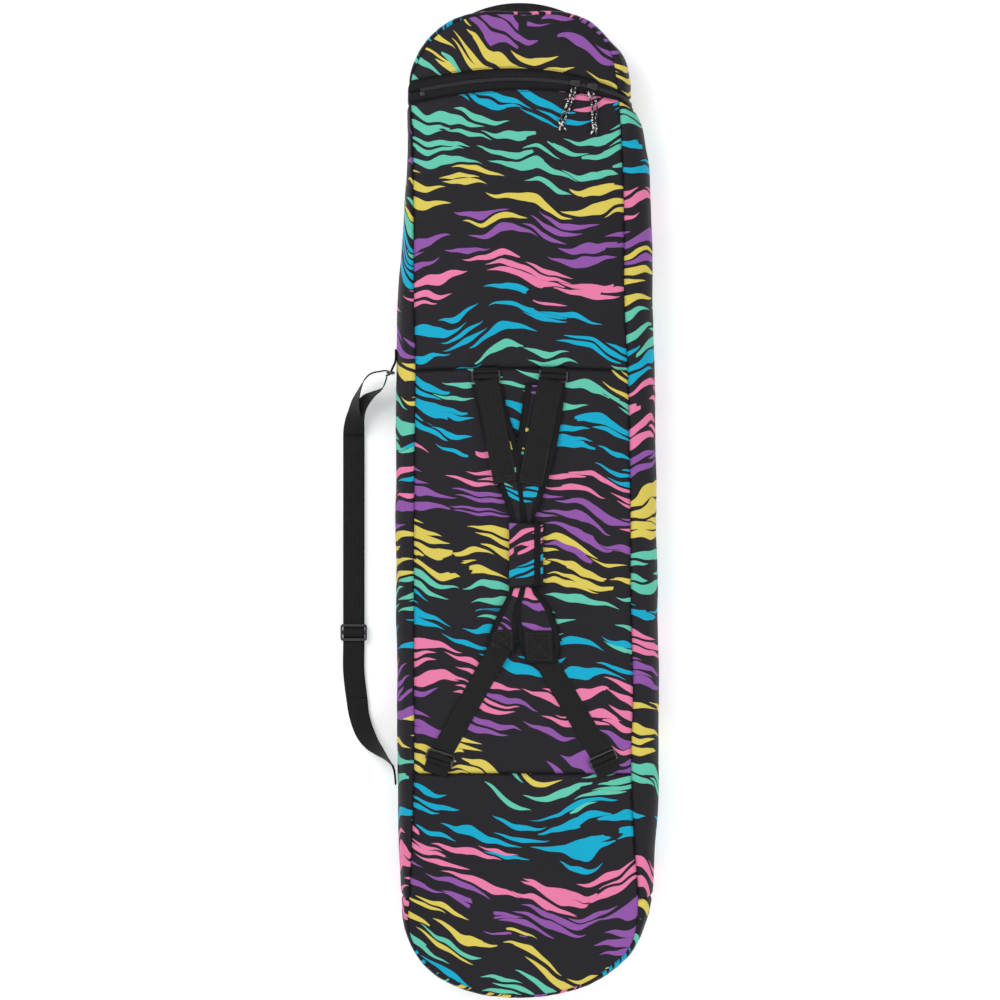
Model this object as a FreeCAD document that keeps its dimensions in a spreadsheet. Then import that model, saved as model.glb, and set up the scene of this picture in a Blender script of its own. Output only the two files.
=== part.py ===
"""A snowboard bag: a long sewn sleeve that lies on its back, with a zipped hood at the +Y end,
a backpack harness with a grip wrap on its front (+Z) and a shoulder strap beside it (-X).

Origin: centre of the flat back face. +Y towards the hood, +Z out of the front, millimetres.
"""
import FreeCAD, Part
import math
import os
import Sketcher

V = FreeCAD.Vector
UP = V(0, 0, 1)

doc = FreeCAD.newDocument("snowboard_bag")
sheet = doc.addObject("Spreadsheet::Sheet", "Sizes")

SIZES = {
    # the sleeve
    "bag_depth": (118, "thickness of the lightly filled sleeve"),
    "wall": (4, "wall of the sleeve: fabric with its seam allowances"),
    "edge_round": (35, "rounding of the long edges"),
    "hood_end": (744.5, "furthest point of the hood"),
    "foot_end": (-760, "furthest point of the foot"),
    "right_edge": (201, "widest point of the right side"),
    "left_edge": (-203, "widest point of the left side"),
    "right_bow": (8800, "radius of the bowed right side"),
    "left_bow": (10600, "radius of the bowed left side"),
    "hood_bow": (400, "radius of the hood's end"),
    "foot_bow": (290, "radius of the foot's end"),
    "hood_corner": (95, "corner radius at the hood"),
    "foot_corner": (140, "corner radius at the foot"),
    # the front panels
    "right_seam": (158, "right edge of the front panels"),
    "left_seam": (-175, "left edge of the front panels"),
    "seam_bow": (25000, "radius of the long seams, which are nearly straight"),
    "end_inset": (6, "front panels stop short of the sleeve's ends"),
    "back_inset": (25, "back panel stops short of the outline"),
    "upper_seam": (198, "seam between upper and middle panels"),
    "lower_seam": (-415, "seam between middle and lower panels"),
    "foot_gusset_top": (-600, "where the side gussets meet the foot gusset"),
    # the zip
    "zip_centre_x": (-12, "centre of the zip's arc"),
    "zip_centre_y": (113, "centre of the zip's arc"),
    "zip_bow": (524, "radius of the zip's arc"),
    "zip_gap": (0.3, "half the gap between the two rows of coil"),
    "coil_width": (1.9, "width of one row of coil"),
    "tape_width": (15, "width of one zip tape"),
    "zip_left_end": (-168, "left end of the zip, beside the left gusset"),
    "slider_length": (13, "slider along the zip"),
    "slider_width": (10, "slider across the zip"),
    "slider_height": (3.4, "slider above the tape"),
    "slider_round": (1.2, "rounding of a slider's top"),
    "slider_left_x": (71, "closed place of the left slider"),
    "slider_right_x": (97, "closed place of the right slider"),
    "cord_diameter": (3, "zip pull cord"),
    "knot_diameter": (9, "knot at the end of a pull"),
    # webbing and plastic
    "webbing_width": (38, "all webbing"),
    "webbing_thickness": (1.5, "all webbing"),
    "clearance": (0.4, "gap over the front panels"),
    "glide_width": (44, "tri-glide across the webbing"),
    "glide_length": (18, "tri-glide along the webbing"),
    "glide_bar": (3, "each of a tri-glide's three bars"),
    "glide_thickness": (3, "tri-glide plate"),
    "pad_thickness": (7, "padded strap"),
    "patch_thickness": (1.2, "stitched patch on a padded strap"),
    # the grip wrap
    "wrap_left": (-28, "left edge of the wrapped straps"),
    "wrap_right": (25, "right edge of the wrapped straps"),
    "wrap_top": (4, "upper end of the wrap"),
    "wrap_length": (126, "length of the wrap"),
    "wrap_thickness": (1.4, "fabric of the wrap"),
    # the shoulder strap
    "strap_width": (33, "the shoulder strap's narrower webbing"),
    "strap_glide_width": (41, "tri-glide across the shoulder strap"),
    "strap_x": (-268, "middle of the shoulder strap's long run"),
    "strap_lift": (4.2, "long run above the floor, held up by its tri-glide"),
    "strap_axis_x": (-212, "line through the strap's two anchors"),
    "strap_axis_z": (60, "height of the two anchors"),
    "strap_top": (150, "upper end of the long run"),
    "strap_foot": (-300, "lower end of the long run"),
    "strap_glide_y": (-204, "tri-glide on the shoulder strap"),
    "return_end": (-196, "lower end of the strap's second layer"),
    "ring_rod": (4, "rod of the upper ring"),
    "ring_height": (46, "upper ring, along Z"),
    "ring_depth": (13, "upper ring, along X"),
    "upper_anchor_y": (190, "upper anchor of the shoulder strap"),
    "lower_anchor_y": (-404, "lower anchor of the shoulder strap"),
    # the haul handle
    "haul_reach": (16.5, "haul handle beyond the hood's end"),
    "haul_half_span": (96, "half the haul handle's span"),
    "haul_height": (38, "haul handle, along Z"),
    "haul_sink": (14, "haul handle's ends inside the hood's end, before trimming"),
}

for row, (alias, (value, note)) in enumerate(SIZES.items(), start=1):
    sheet.set(f"A{row}", note)
    sheet.set(f"B{row}", str(value))
    sheet.setAlias(f"B{row}", alias)
doc.recompute()


def size(alias):
    """A driving dimension, read from the sheet."""
    return float(sheet.get(alias))


NODES = []


def keep(feature, label):
    """Name a finished sub-part and list it for export."""
    feature.Label = label
    NODES.append(feature)
    return feature


# ---------------------------------------------------------------- small builders

def new_body(name):
    return doc.addObject("PartDesign::Body", name)


def new_sketch(body, role="XY_Plane"):
    """A sketch on one of the body's own origin planes."""
    sketch = body.newObject("Sketcher::SketchObject", body.Name + "_sketch")
    plane = next(item for item in body.Origin.OriginFeatures if item.Role == role)
    sketch.AttachmentSupport = (plane, "")
    sketch.MapMode = "FlatFace"
    return sketch


def join_ends(sketch, first, count):
    """Join each edge's end to the next edge's start, all the way round."""
    for step in range(count):
        following = first + (step + 1) % count
        sketch.addConstraint(Sketcher.Constraint("Coincident", first + step, 2, following, 1))


def draw_polygon(sketch, points):
    first = sketch.GeometryCount
    for start, end in zip(points, points[1:] + points[:1]):
        sketch.addGeometry(Part.LineSegment(V(*start, 0), V(*end, 0)))
    join_ends(sketch, first, len(points))


def draw_rectangle(sketch, low, high, width, height):
    """A rectangle from its low corner, its two sides bound to the sheet."""
    first = sketch.GeometryCount
    draw_polygon(sketch, [low, (high[0], low[1]), high, (low[0], high[1])])
    for edge, kind in ((0, "Horizontal"), (1, "Vertical"), (2, "Horizontal"), (3, "Vertical")):
        sketch.addConstraint(Sketcher.Constraint(kind, first + edge))
    sketch.addConstraint(Sketcher.Constraint("DistanceX", -1, 1, first, 1, low[0]))
    sketch.addConstraint(Sketcher.Constraint("DistanceY", -1, 1, first, 1, low[1]))
    wide, tall = high[0] - low[0], high[1] - low[1]
    across = sketch.addConstraint(Sketcher.Constraint("DistanceX", first, 1, first, 2, wide))
    upward = sketch.addConstraint(Sketcher.Constraint("DistanceY", first + 1, 1, first + 1, 2, tall))
    sketch.setExpression(f"Constraints[{across}]", width)
    sketch.setExpression(f"Constraints[{upward}]", height)


def pad(body, sketch, length):
    """Pad a sketch by a length from the sheet."""
    feature = body.newObject("PartDesign::Pad", body.Name + "_pad")
    feature.Profile = sketch
    feature.setExpression("Length", length)
    sketch.Visibility = False
    return feature


def place(body, x, y, z, turn=0):
    body.Placement = FreeCAD.Placement(V(x, y, z), FreeCAD.Rotation(UP, turn))


def strip(name, start, end, z, width="Sizes.webbing_width", thickness="Sizes.webbing_thickness"):
    """A flat strip of webbing from start to end in plan, lying at height z."""
    body = new_body(name)
    run = math.hypot(end[0] - start[0], end[1] - start[1])
    wide = size(width.removeprefix("Sizes."))
    sketch = new_sketch(body)
    draw_rectangle(sketch, (0, -wide / 2), (run, wide / 2), str(run), width)
    pad(body, sketch, thickness)
    place(body, *start, z, math.degrees(math.atan2(end[1] - start[1], end[0] - start[0])))
    return keep(body, name)


def outline_pad(name, points, z, thickness):
    """A flat piece cut to a polygon, lying at height z."""
    body = new_body(name)
    sketch = new_sketch(body)
    draw_polygon(sketch, points)
    pad(body, sketch, thickness)
    place(body, 0, 0, z)
    return keep(body, name)


def common(name, first, second):
    feature = doc.addObject("Part::Common", name)
    feature.Base = first
    feature.Tool = second
    return feature


def cut(name, first, second):
    feature = doc.addObject("Part::Cut", name)
    feature.Base = first
    feature.Tool = second
    return feature


def block(name, low, high):
    feature = doc.addObject("Part::Box", name)
    feature.Length, feature.Width, feature.Height = (b - a for a, b in zip(low, high))
    feature.Placement.Base = V(*low)
    return feature


# ---------------------------------------------------------------- the sleeve's outline

def inner_corner(big_a, big_b, radius, near):
    """Centre of a corner circle that touches two larger circles from inside, nearest to a point."""
    (ax, ay), ra = big_a
    (bx, by), rb = big_b
    reach_a, reach_b = ra - radius, rb - radius
    apart = math.hypot(bx - ax, by - ay)
    along = (reach_a ** 2 - reach_b ** 2 + apart ** 2) / (2 * apart)
    across = math.sqrt(reach_a ** 2 - along ** 2)
    ux, uy = (bx - ax) / apart, (by - ay) / apart
    options = [(ax + along * ux - side * across * uy, ay + along * uy + side * across * ux)
               for side in (1, -1)]
    return min(options, key=lambda point: math.dist(point, near))


def touch(big, corner):
    """The point where a corner circle touches the larger circle around it."""
    (bx, by), rb = big
    angle = math.atan2(corner[1] - by, corner[0] - bx)
    return bx + rb * math.cos(angle), by + rb * math.sin(angle)


def draw_outline(sketch, right, hood, left, foot, hood_corner, foot_corner):
    """Four bowed sides joined by four tangent corner arcs, counter-clockwise from the right side."""
    sides = [right, hood, left, foot]
    radii = [hood_corner, hood_corner, foot_corner, foot_corner]
    near = [(1000, 1000), (-1000, 1000), (-1000, -1000), (1000, -1000)]
    corners = [inner_corner(sides[i], sides[(i + 1) % 4], radii[i], near[i]) for i in range(4)]
    for i, (centre, radius) in enumerate(sides):
        start = touch(sides[i], corners[i - 1])
        end = touch(sides[i], corners[i])
        after = touch(sides[(i + 1) % 4], corners[i])
        for middle, bend, first, last in ((centre, radius, start, end), (corners[i], radii[i], end, after)):
            circle = Part.Circle(V(*middle, 0), UP, bend)
            angle_from = math.atan2(first[1] - middle[1], first[0] - middle[0])
            angle_to = math.atan2(last[1] - middle[1], last[0] - middle[0])
            sketch.addGeometry(Part.ArcOfCircle(circle, angle_from, angle_to))
    join_ends(sketch, 0, 8)


END_X = -6          # the foot is centred a little to the left
HOOD_X = -12        # and the hood a little more
RIGHT_WIDEST_Y = -250
LEFT_WIDEST_Y = -60


def sleeve_outline(sketch, inset):
    """The sleeve's plan outline, moved inwards by an inset."""
    right = ((size("right_edge") - size("right_bow"), RIGHT_WIDEST_Y), size("right_bow") - inset)
    left = ((size("left_edge") + size("left_bow"), LEFT_WIDEST_Y), size("left_bow") - inset)
    hood = ((HOOD_X, size("hood_end") - size("hood_bow")), size("hood_bow") - inset)
    foot = ((END_X, size("foot_end") + size("foot_bow")), size("foot_bow") - inset)
    draw_outline(sketch, right, hood, left, foot, size("hood_corner") - inset, size("foot_corner") - inset)


def seam_outline(sketch):
    """The front panels' plan outline: long seams, and ends just inside the sleeve's."""
    inset = size("end_inset")
    bow = size("seam_bow")
    right = ((size("right_seam") - bow, RIGHT_WIDEST_Y), bow)
    left = ((size("left_seam") + bow, LEFT_WIDEST_Y), bow)
    hood = ((HOOD_X, size("hood_end") - size("hood_bow")), size("hood_bow") - inset)
    foot = ((END_X, size("foot_end") + size("foot_bow")), size("foot_bow") - inset)
    draw_outline(sketch, right, hood, left, foot, size("hood_corner") - inset, size("foot_corner") - inset)


def slab(name, draw, z, height):
    """An upright slab of a plan outline, used to build or cut the sleeve."""
    body = new_body(name)
    sketch = new_sketch(body)
    draw(sketch)
    pad(body, sketch, height)
    place(body, 0, 0, z)
    return body


def round_long_edges(body, radius):
    """Round every edge of the slab's two flat faces."""
    doc.recompute()
    padded = body.Tip
    edges = [f"Edge{i}" for i, edge in enumerate(padded.Shape.Edges, start=1)
             if abs(edge.Vertexes[0].Z - edge.Vertexes[-1].Z) < 1e-6]
    fillet = body.newObject("PartDesign::Fillet", body.Name + "_round")
    fillet.Base = (padded, edges)
    fillet.setExpression("Radius", radius)
    return body


bag_form = slab("bag_form", lambda s: sleeve_outline(s, 0), 0, "Sizes.bag_depth")
round_long_edges(bag_form, "Sizes.edge_round")
bag_hollow = slab("bag_hollow", lambda s: sleeve_outline(s, size("wall")), size("wall"),
                  "Sizes.bag_depth - 2 * Sizes.wall")
round_long_edges(bag_hollow, "Sizes.edge_round - Sizes.wall")
shell = cut("shell", bag_form, bag_hollow)

half_depth = size("bag_depth") / 2
front_slab = slab("front_slab", seam_outline, half_depth, "Sizes.bag_depth")
back_slab = slab("back_slab", lambda s: sleeve_outline(s, size("back_inset")), -half_depth,
                 "Sizes.bag_depth")

# ---------------------------------------------------------------- the zip's arc

BIG = 900           # reaches past the sleeve from the origin on any side
ZIP_BELOW_Y = 500   # every part of the zip is above this


def arc_cylinder(name, radius):
    """An upright cylinder about the centre of the zip's arc, its radius bound to the sheet."""
    feature = doc.addObject("Part::Cylinder", name)
    feature.setExpression("Radius", radius)
    feature.Height = 2 * BIG
    feature.Placement.Base = V(size("zip_centre_x"), size("zip_centre_y"), -BIG)
    return feature


def arc_ring(name, inner, outer):
    return cut(name, arc_cylinder(name + "_outer", outer), arc_cylinder(name + "_inner", inner))


hood_end_block = block("hood_end_block", (-BIG, ZIP_BELOW_Y, -BIG), (BIG, BIG, BIG))
past_zip = cut("past_zip", hood_end_block, arc_cylinder("body_limit", "Sizes.zip_bow - Sizes.zip_gap"))
body_shell = cut("body_shell", shell, past_zip)
hood_zone = cut("hood_zone", hood_end_block, arc_cylinder("hood_limit", "Sizes.zip_bow + Sizes.zip_gap"))
hood_shell = common("hood_shell", shell, hood_zone)

zipped_block = block("zipped_block", (size("zip_left_end"), ZIP_BELOW_Y, -BIG), (BIG, BIG, BIG))
body_tape_zone = common("body_tape_zone", zipped_block, arc_ring(
    "body_tape_ring", "Sizes.zip_bow - Sizes.tape_width", "Sizes.zip_bow"))
hood_tape_zone = common("hood_tape_zone", zipped_block, arc_ring(
    "hood_tape_ring", "Sizes.zip_bow", "Sizes.zip_bow + Sizes.tape_width"))
body_band = common("body_band", body_shell, body_tape_zone)
hood_band = common("hood_band", hood_shell, hood_tape_zone)
coil_ring = arc_ring("coil_ring", "Sizes.zip_bow - Sizes.coil_width", "Sizes.zip_bow + Sizes.coil_width")

keep(cut("tape_body", body_band, coil_ring), "zipper_tape_body")
keep(cut("tape_hood", hood_band, coil_ring), "zipper_tape_hood")
keep(common("coil_body", body_band, coil_ring), "zipper_coil_body")
keep(common("coil_hood", hood_band, coil_ring), "zipper_coil_hood")

# ---------------------------------------------------------------- the sewn panels

body_cloth = cut("body_cloth", body_shell, body_tape_zone)
hood_cloth = cut("hood_cloth", hood_shell, hood_tape_zone)

body_front = common("body_front", body_cloth, front_slab)
body_sides = cut("body_sides", cut("body_not_front", body_cloth, front_slab), back_slab)

upper_block = block("upper_block", (-BIG, size("upper_seam"), -BIG), (BIG, BIG, BIG))
middle_block = block("middle_block", (-BIG, size("lower_seam"), -BIG), (BIG, size("upper_seam"), BIG))
lower_block = block("lower_block", (-BIG, -BIG, -BIG), (BIG, size("lower_seam"), BIG))
for place_name, zone in (("upper", upper_block), ("middle", middle_block), ("lower", lower_block)):
    keep(common("front_" + place_name, body_front, zone), f"front_panel_{place_name}")

keep(common("back_cloth", body_cloth, back_slab), "back_panel")

left_block = block("left_block", (-BIG, size("foot_gusset_top"), -BIG), (0, BIG, BIG))
right_block = block("right_block", (0, size("foot_gusset_top"), -BIG), (BIG, BIG, BIG))
foot_block = block("foot_block", (-BIG, -BIG, -BIG), (BIG, size("foot_gusset_top"), BIG))
for place_name, zone in (("left", left_block), ("right", right_block), ("foot", foot_block)):
    keep(common("side_" + place_name, body_sides, zone), f"gusset_{place_name}")

keep(common("hood_front", hood_cloth, front_slab), "hood_front_panel")
keep(common("hood_back", hood_cloth, back_slab), "hood_back_panel")
keep(cut("hood_side", cut("hood_not_front", hood_cloth, front_slab), back_slab), "hood_gusset")

# ---------------------------------------------------------------- the haul handle

haul = new_body("haul_band")
haul_sketch = new_sketch(haul)
haul_tip = size("hood_end") + size("haul_reach")
haul_base = size("hood_end") - size("haul_sink")
half_span = size("haul_half_span")
for shrink in (0, size("webbing_thickness") * 1.6):
    ends = (V(HOOD_X + half_span - shrink, haul_base, 0), V(HOOD_X - half_span + shrink, haul_base, 0))
    haul_sketch.addGeometry(Part.Arc(ends[0], V(HOOD_X, haul_tip - shrink, 0), ends[1]))
outer_start, outer_end = haul_sketch.Geometry[0].StartPoint, haul_sketch.Geometry[0].EndPoint
inner_start, inner_end = haul_sketch.Geometry[1].StartPoint, haul_sketch.Geometry[1].EndPoint
haul_sketch.addGeometry(Part.LineSegment(outer_end, inner_end))
haul_sketch.addGeometry(Part.LineSegment(inner_start, outer_start))
pad(haul, haul_sketch, "Sizes.haul_height")
place(haul, 0, 0, half_depth - size("haul_height") / 2)
keep(cut("haul_cut", haul, bag_form), "haul_handle")

# ---------------------------------------------------------------- sliders, pull cords and knots

FRONT_Z = size("bag_depth")


def on_zip(x):
    """The point of the zip's arc at a given x, and the arc's direction there in degrees."""
    across = x - size("zip_centre_x")
    y = size("zip_centre_y") + math.sqrt(size("zip_bow") ** 2 - across ** 2)
    return y, -math.degrees(math.asin(across / size("zip_bow")))


def make_slider(side, x):
    """Slider body with a raised bail, riding just above the tapes."""
    body = new_body("slider_block_" + side)
    sketch = new_sketch(body)
    long, wide = size("slider_length"), size("slider_width")
    draw_rectangle(sketch, (-long / 2, -wide / 2), (long / 2, wide / 2),
                   "Sizes.slider_length", "Sizes.slider_width")
    pad(body, sketch, "Sizes.slider_height")
    doc.recompute()
    padded = body.Tip
    top = size("slider_height")
    edges = [f"Edge{i}" for i, edge in enumerate(padded.Shape.Edges, start=1)
             if min(vertex.Z for vertex in edge.Vertexes) > top - 0.01]
    fillet = body.newObject("PartDesign::Fillet", "slider_round_" + side)
    fillet.Base = (padded, edges)
    fillet.setExpression("Radius", "Sizes.slider_round")
    y, turn = on_zip(x)
    place(body, x, y, FRONT_Z + 0.3, turn)
    return keep(body, "slider_" + side)


for side in ("left", "right"):
    make_slider(side, size(f"slider_{side}_x"))

# Each pull is one cord, from its slider down to the knot and back up, as offsets from the slider.
PULL_ROUTES = {
    "left": [(-4, -7, 4.4), (-8, -18, 2.6), (-13, -34, 2.6), (-20, -50, 2.6), (-24, -60, 2.6),
             (-19, -61, 2.6), (-14, -51, 2.6), (-7, -35, 2.6), (-2, -19, 2.6), (1, -7, 4.4)],
    "right": [(-7, -7, 4.4), (-3, -19, 2.6), (1, -34, 2.6), (-1, -50, 2.6), (1, -62, 2.6),
              (6, -62, 2.6), (5, -50, 2.6), (8, -33, 2.6), (4, -18, 2.6), (0, -7, 4.4)],
}


def rounded_wire(points):
    """Straight runs joined by tangent arcs as large as the two runs allow."""
    points = [V(*point) for point in points]
    edges = []
    radii = []
    start = points[0]
    for before, corner, after in zip(points, points[1:], points[2:]):
        back = (before - corner).normalize()
        ahead = (after - corner).normalize()
        turn = math.pi - back.getAngle(ahead)
        trim = 0.45 * min((before - corner).Length, (after - corner).Length)
        radius = trim / math.tan(turn / 2)
        radii.append(radius)
        first, last = corner + back * trim, corner + ahead * trim
        middle = corner + (back + ahead).normalize() * (radius / math.cos(turn / 2) - radius)
        edges.append(Part.LineSegment(start, first).toShape())
        edges.append(Part.Arc(first, middle, last).toShape())
        start = last
    edges.append(Part.LineSegment(start, points[-1]).toShape())
    return Part.Wire(edges), radii


def make_pull(side, slider_x):
    y, _ = on_zip(slider_x)
    route = [(slider_x + dx, y + dy, FRONT_Z + dz) for dx, dy, dz in PULL_ROUTES[side]]
    wire, radii = rounded_wire(route)
    start, following = V(*route[0]), V(*route[1])
    circle = Part.makeCircle(size("cord_diameter") / 2, start, following - start)
    tube = wire.makePipeShell([Part.Wire(circle)], True, False)
    print(f"pull_cord_{side}: length {wire.Length:.1f}, volume over section times length "
          f"{tube.Volume / (wire.Length * math.pi * size('cord_diameter') ** 2 / 4):.3f}, "
          f"radii {[round(radius, 1) for radius in radii]}")
    cord = doc.addObject("Part::Feature", "cord_" + side)
    cord.Shape = tube
    keep(cord, "pull_cord_" + side)
    low_end = (V(*route[4]) + V(*route[5])) * 0.5
    knot = doc.addObject("Part::Sphere", "knot_ball_" + side)
    knot.setExpression("Radius", "Sizes.knot_diameter / 2")
    knot.Placement.Base = V(low_end.x, low_end.y, FRONT_Z + size("clearance") + size("knot_diameter") / 2)
    keep(knot, "pull_knot_" + side)


for side in ("left", "right"):
    make_pull(side, size(f"slider_{side}_x"))

# ---------------------------------------------------------------- tri-glides and their webbing

TAB_Z = FRONT_Z + size("clearance")
GLIDE_Z = TAB_Z + size("webbing_thickness")
PAD_Z = GLIDE_Z + size("clearance")


def make_glide(name, centre, turn):
    """Flat tri-glide: a plate with two slots, either side of its middle bar."""
    body = new_body(name)
    sketch = new_sketch(body)
    long, wide, bar = size("glide_length"), size("glide_width"), size("glide_bar")
    slot = (long - 3 * bar) / 2
    draw_rectangle(sketch, (-long / 2, -wide / 2), (long / 2, wide / 2),
                   "Sizes.glide_length", "Sizes.glide_width")
    for low_x in (-long / 2 + bar, bar / 2):
        draw_rectangle(sketch, (low_x, -wide / 2 + bar - 0.4), (low_x + slot, wide / 2 - bar + 0.4),
                       "(Sizes.glide_length - 3 * Sizes.glide_bar) / 2",
                       "Sizes.glide_width - 2 * Sizes.glide_bar + 0.8")
    pad(body, sketch, "Sizes.glide_thickness")
    place(body, *centre, GLIDE_Z, turn)
    return keep(body, name)


def make_glide_loop(name, centre, turn):
    """The bight of webbing that passes up, over a tri-glide's middle bar and down again."""
    body = new_body(name)
    sketch = new_sketch(body, "XZ_Plane")
    half_bar = size("glide_bar") / 2
    thick = size("webbing_thickness")
    inner = half_bar + 0.3
    outer = inner + thick
    low = 0
    under = size("webbing_thickness") + size("glide_thickness") + 0.3
    draw_polygon(sketch, [(-outer, low), (-inner, low), (-inner, under), (inner, under), (inner, low),
                          (outer, low), (outer, under + thick), (-outer, under + thick)])
    feature = pad(body, sketch, "Sizes.webbing_width")
    feature.Midplane = True
    place(body, *centre, TAB_Z, turn)
    return keep(body, name)


def toward(start, end, distance):
    run = math.dist(start, end)
    return tuple(a + (b - a) * distance / run for a, b in zip(start, end))


UPPER_GLIDES = {"left": (-62, 187), "right": (34, 187)}
LOWER_GLIDES = {"left": (-133, -389), "right": (113, -392)}
LOWER_STARTS = {"left": (-43, -214), "right": (18, -238)}
LOWER_TURNS = {"left": -108, "right": -66}      # each lower glide faces between its webbing and its tab
TAB_REACH = 4.5      # a tab stops under its glide's outer bar
TAB_SEWN = 9         # and an upper tab runs on this far past the seam
LOWER_TAB = 27       # how far a lower tab runs from the middle of its glide
GLIDE_CLEAR = 15     # and the harness webbing stops short of the glide, so that it can lift

for side, centre in UPPER_GLIDES.items():
    make_glide("upper_triglide_" + side, centre, 90)
    make_glide_loop("upper_glide_loop_" + side, centre, 90)
    tab_ends = [(centre[0], centre[1] + TAB_REACH), (centre[0], size("upper_seam") + TAB_SEWN)]
    strip("upper_anchor_tab_" + side, *tab_ends, TAB_Z)

for side, centre in LOWER_GLIDES.items():
    start = LOWER_STARTS[side]
    turn = LOWER_TURNS[side]
    step = (math.cos(math.radians(turn)), math.sin(math.radians(turn)))
    tab_ends = [(centre[0] + step[0] * reach, centre[1] + step[1] * reach) for reach in (TAB_REACH, LOWER_TAB)]
    make_glide("lower_triglide_" + side, centre, turn)
    make_glide_loop("lower_glide_loop_" + side, centre, turn)
    strip("lower_anchor_tab_" + side, *tab_ends, TAB_Z)
    strip("lower_webbing_" + side, start, toward(centre, start, GLIDE_CLEAR), TAB_Z)

# ---------------------------------------------------------------- padded straps and their trim

# Plan outlines: full width above, gathered side by side in the wrap, full width again below.
PADS = {
    "left": [(-84, 172), (-36, 172), (-17, 60), (-3, 6), (-3, -122), (-23, -152), (-20, -183),
             (-17, -214), (-20, -236), (-62, -224), (-60, -200), (-30, -140), (-26, -122), (-26, 6)],
    "right": [(-3, 172), (54, 172), (38, 76), (24, 6), (24, -122), (28, -152), (38, -183), (46, -214),
              (44, -247), (-6, -247), (-14, -214), (-18, -183), (-21, -152), (-2, -122), (-2, 6),
              (-15, 60)],
}
UPPER_WEBBING = {"left": ((-62, 173), (-37, 32)), "right": ((33, 173), (8, 32))}

for side, points in PADS.items():
    outline_pad("padded_strap_" + side, points, PAD_Z, "Sizes.pad_thickness")
for side, (top, bottom) in UPPER_WEBBING.items():
    strip("upper_webbing_" + side, top, bottom, PAD_Z + size("pad_thickness"))

PATCHES = {"left": [(-52, -196), (-22, -196), (-22, -232), (-58, -222)],
           "right": [(-4, -197), (33, -197), (36, -246), (-2, -246)]}
for side, points in PATCHES.items():
    outline_pad("strap_patch_" + side, points, PAD_Z + size("pad_thickness"), "Sizes.patch_thickness")

# ---------------------------------------------------------------- the grip wrap


def wrap_section(name, points):
    """A wrap piece of constant section along Y."""
    body = new_body(name)
    sketch = new_sketch(body, "XZ_Plane")
    draw_polygon(sketch, points)
    pad(body, sketch, "Sizes.wrap_length")
    place(body, 0, size("wrap_top"), 0)
    return keep(body, name)


wrap_left, wrap_right = size("wrap_left"), size("wrap_right")
cloth = size("wrap_thickness")
pad_top = PAD_Z + size("pad_thickness")
base_low = PAD_Z - 0.1 - cloth
flap_low = pad_top + size("clearance")
wrap_section("handle_wrap_base", [
    (wrap_left - cloth, base_low), (wrap_right, base_low), (wrap_right, base_low + cloth),
    (wrap_left, base_low + cloth), (wrap_left, pad_top), (wrap_left - cloth, pad_top)])
wrap_section("handle_wrap_flap", [
    (wrap_left - cloth, flap_low), (wrap_right + 0.6, flap_low), (wrap_right + 0.6, PAD_Z + 0.4),
    (wrap_right + 0.6 + cloth, PAD_Z + 0.4), (wrap_right + 0.6 + cloth, flap_low + cloth),
    (wrap_left - cloth, flap_low + cloth)])

# ---------------------------------------------------------------- the shoulder strap

strap_x = size("strap_x")
thick = size("webbing_thickness")
wide = size("strap_width")
run_z = size("strap_lift") + thick / 2


def strap_section(x, y, z, width, depth, sideways):
    """One rectangular section of the strap; sideways turns its width in plan, in degrees."""
    across = V(math.cos(math.radians(sideways)), math.sin(math.radians(sideways)), 0) * (width / 2)
    up = V(0, 0, depth / 2)
    middle = V(x, y, z)
    corners = [middle - across - up, middle + across - up, middle + across + up, middle - across + up]
    return Part.makePolygon(corners + corners[:1])


axis_x, axis_z = size("strap_axis_x"), size("strap_axis_z")
upper_y, lower_y = size("upper_anchor_y"), size("lower_anchor_y")
STATIONS = [
    (axis_x - 3, lower_y, axis_z, 8, 5, 75),
    (axis_x - 12, lower_y + 10, 44, 22, 3, 50),
    (axis_x - 30, lower_y + 27, 16, wide, 2.2, 26),
    (strap_x + 7, size("strap_foot") - 24, run_z, wide, thick, 8),
    (strap_x, size("strap_foot"), run_z, wide, thick, 0),
    (strap_x, size("strap_top"), run_z, wide, thick, 0),
    (strap_x + 9, size("strap_top") + 22, 14, wide, 2.2, -22),
    (axis_x - 26, upper_y + 1, 38, 22, 3, -50),
    (axis_x - 8, upper_y - 1, axis_z, 8, 5, -75),
]
webbing = doc.addObject("Part::Feature", "shoulder_run")
webbing.Shape = Part.makeLoft([strap_section(*station) for station in STATIONS], True, True)
keep(webbing, "shoulder_webbing")

strip("shoulder_webbing_return", (strap_x, size("return_end")), (strap_x, size("strap_top")),
      run_z + thick / 2 + size("clearance"), "Sizes.strap_width")

adjuster = new_body("adjuster")
adjuster_sketch = new_sketch(adjuster, "XZ_Plane")
frame_low, frame_high = 0.8, size("strap_lift") + 2 * thick + size("clearance") + 3
hole_low, hole_high = size("strap_lift") - 0.7, frame_high - 2.2
half_wide = size("strap_glide_width") / 2
draw_polygon(adjuster_sketch, [(-half_wide, frame_low), (half_wide, frame_low),
                               (half_wide, frame_high), (-half_wide, frame_high)])
half_hole = wide / 2 + 0.6
draw_polygon(adjuster_sketch, [(-half_hole, hole_low), (half_hole, hole_low),
                               (half_hole, hole_high), (-half_hole, hole_high)])
adjuster_pad = pad(adjuster, adjuster_sketch, "Sizes.glide_length")
adjuster_pad.Midplane = True
place(adjuster, strap_x, size("strap_glide_y"), 0)
keep(adjuster, "shoulder_triglide")

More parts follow.
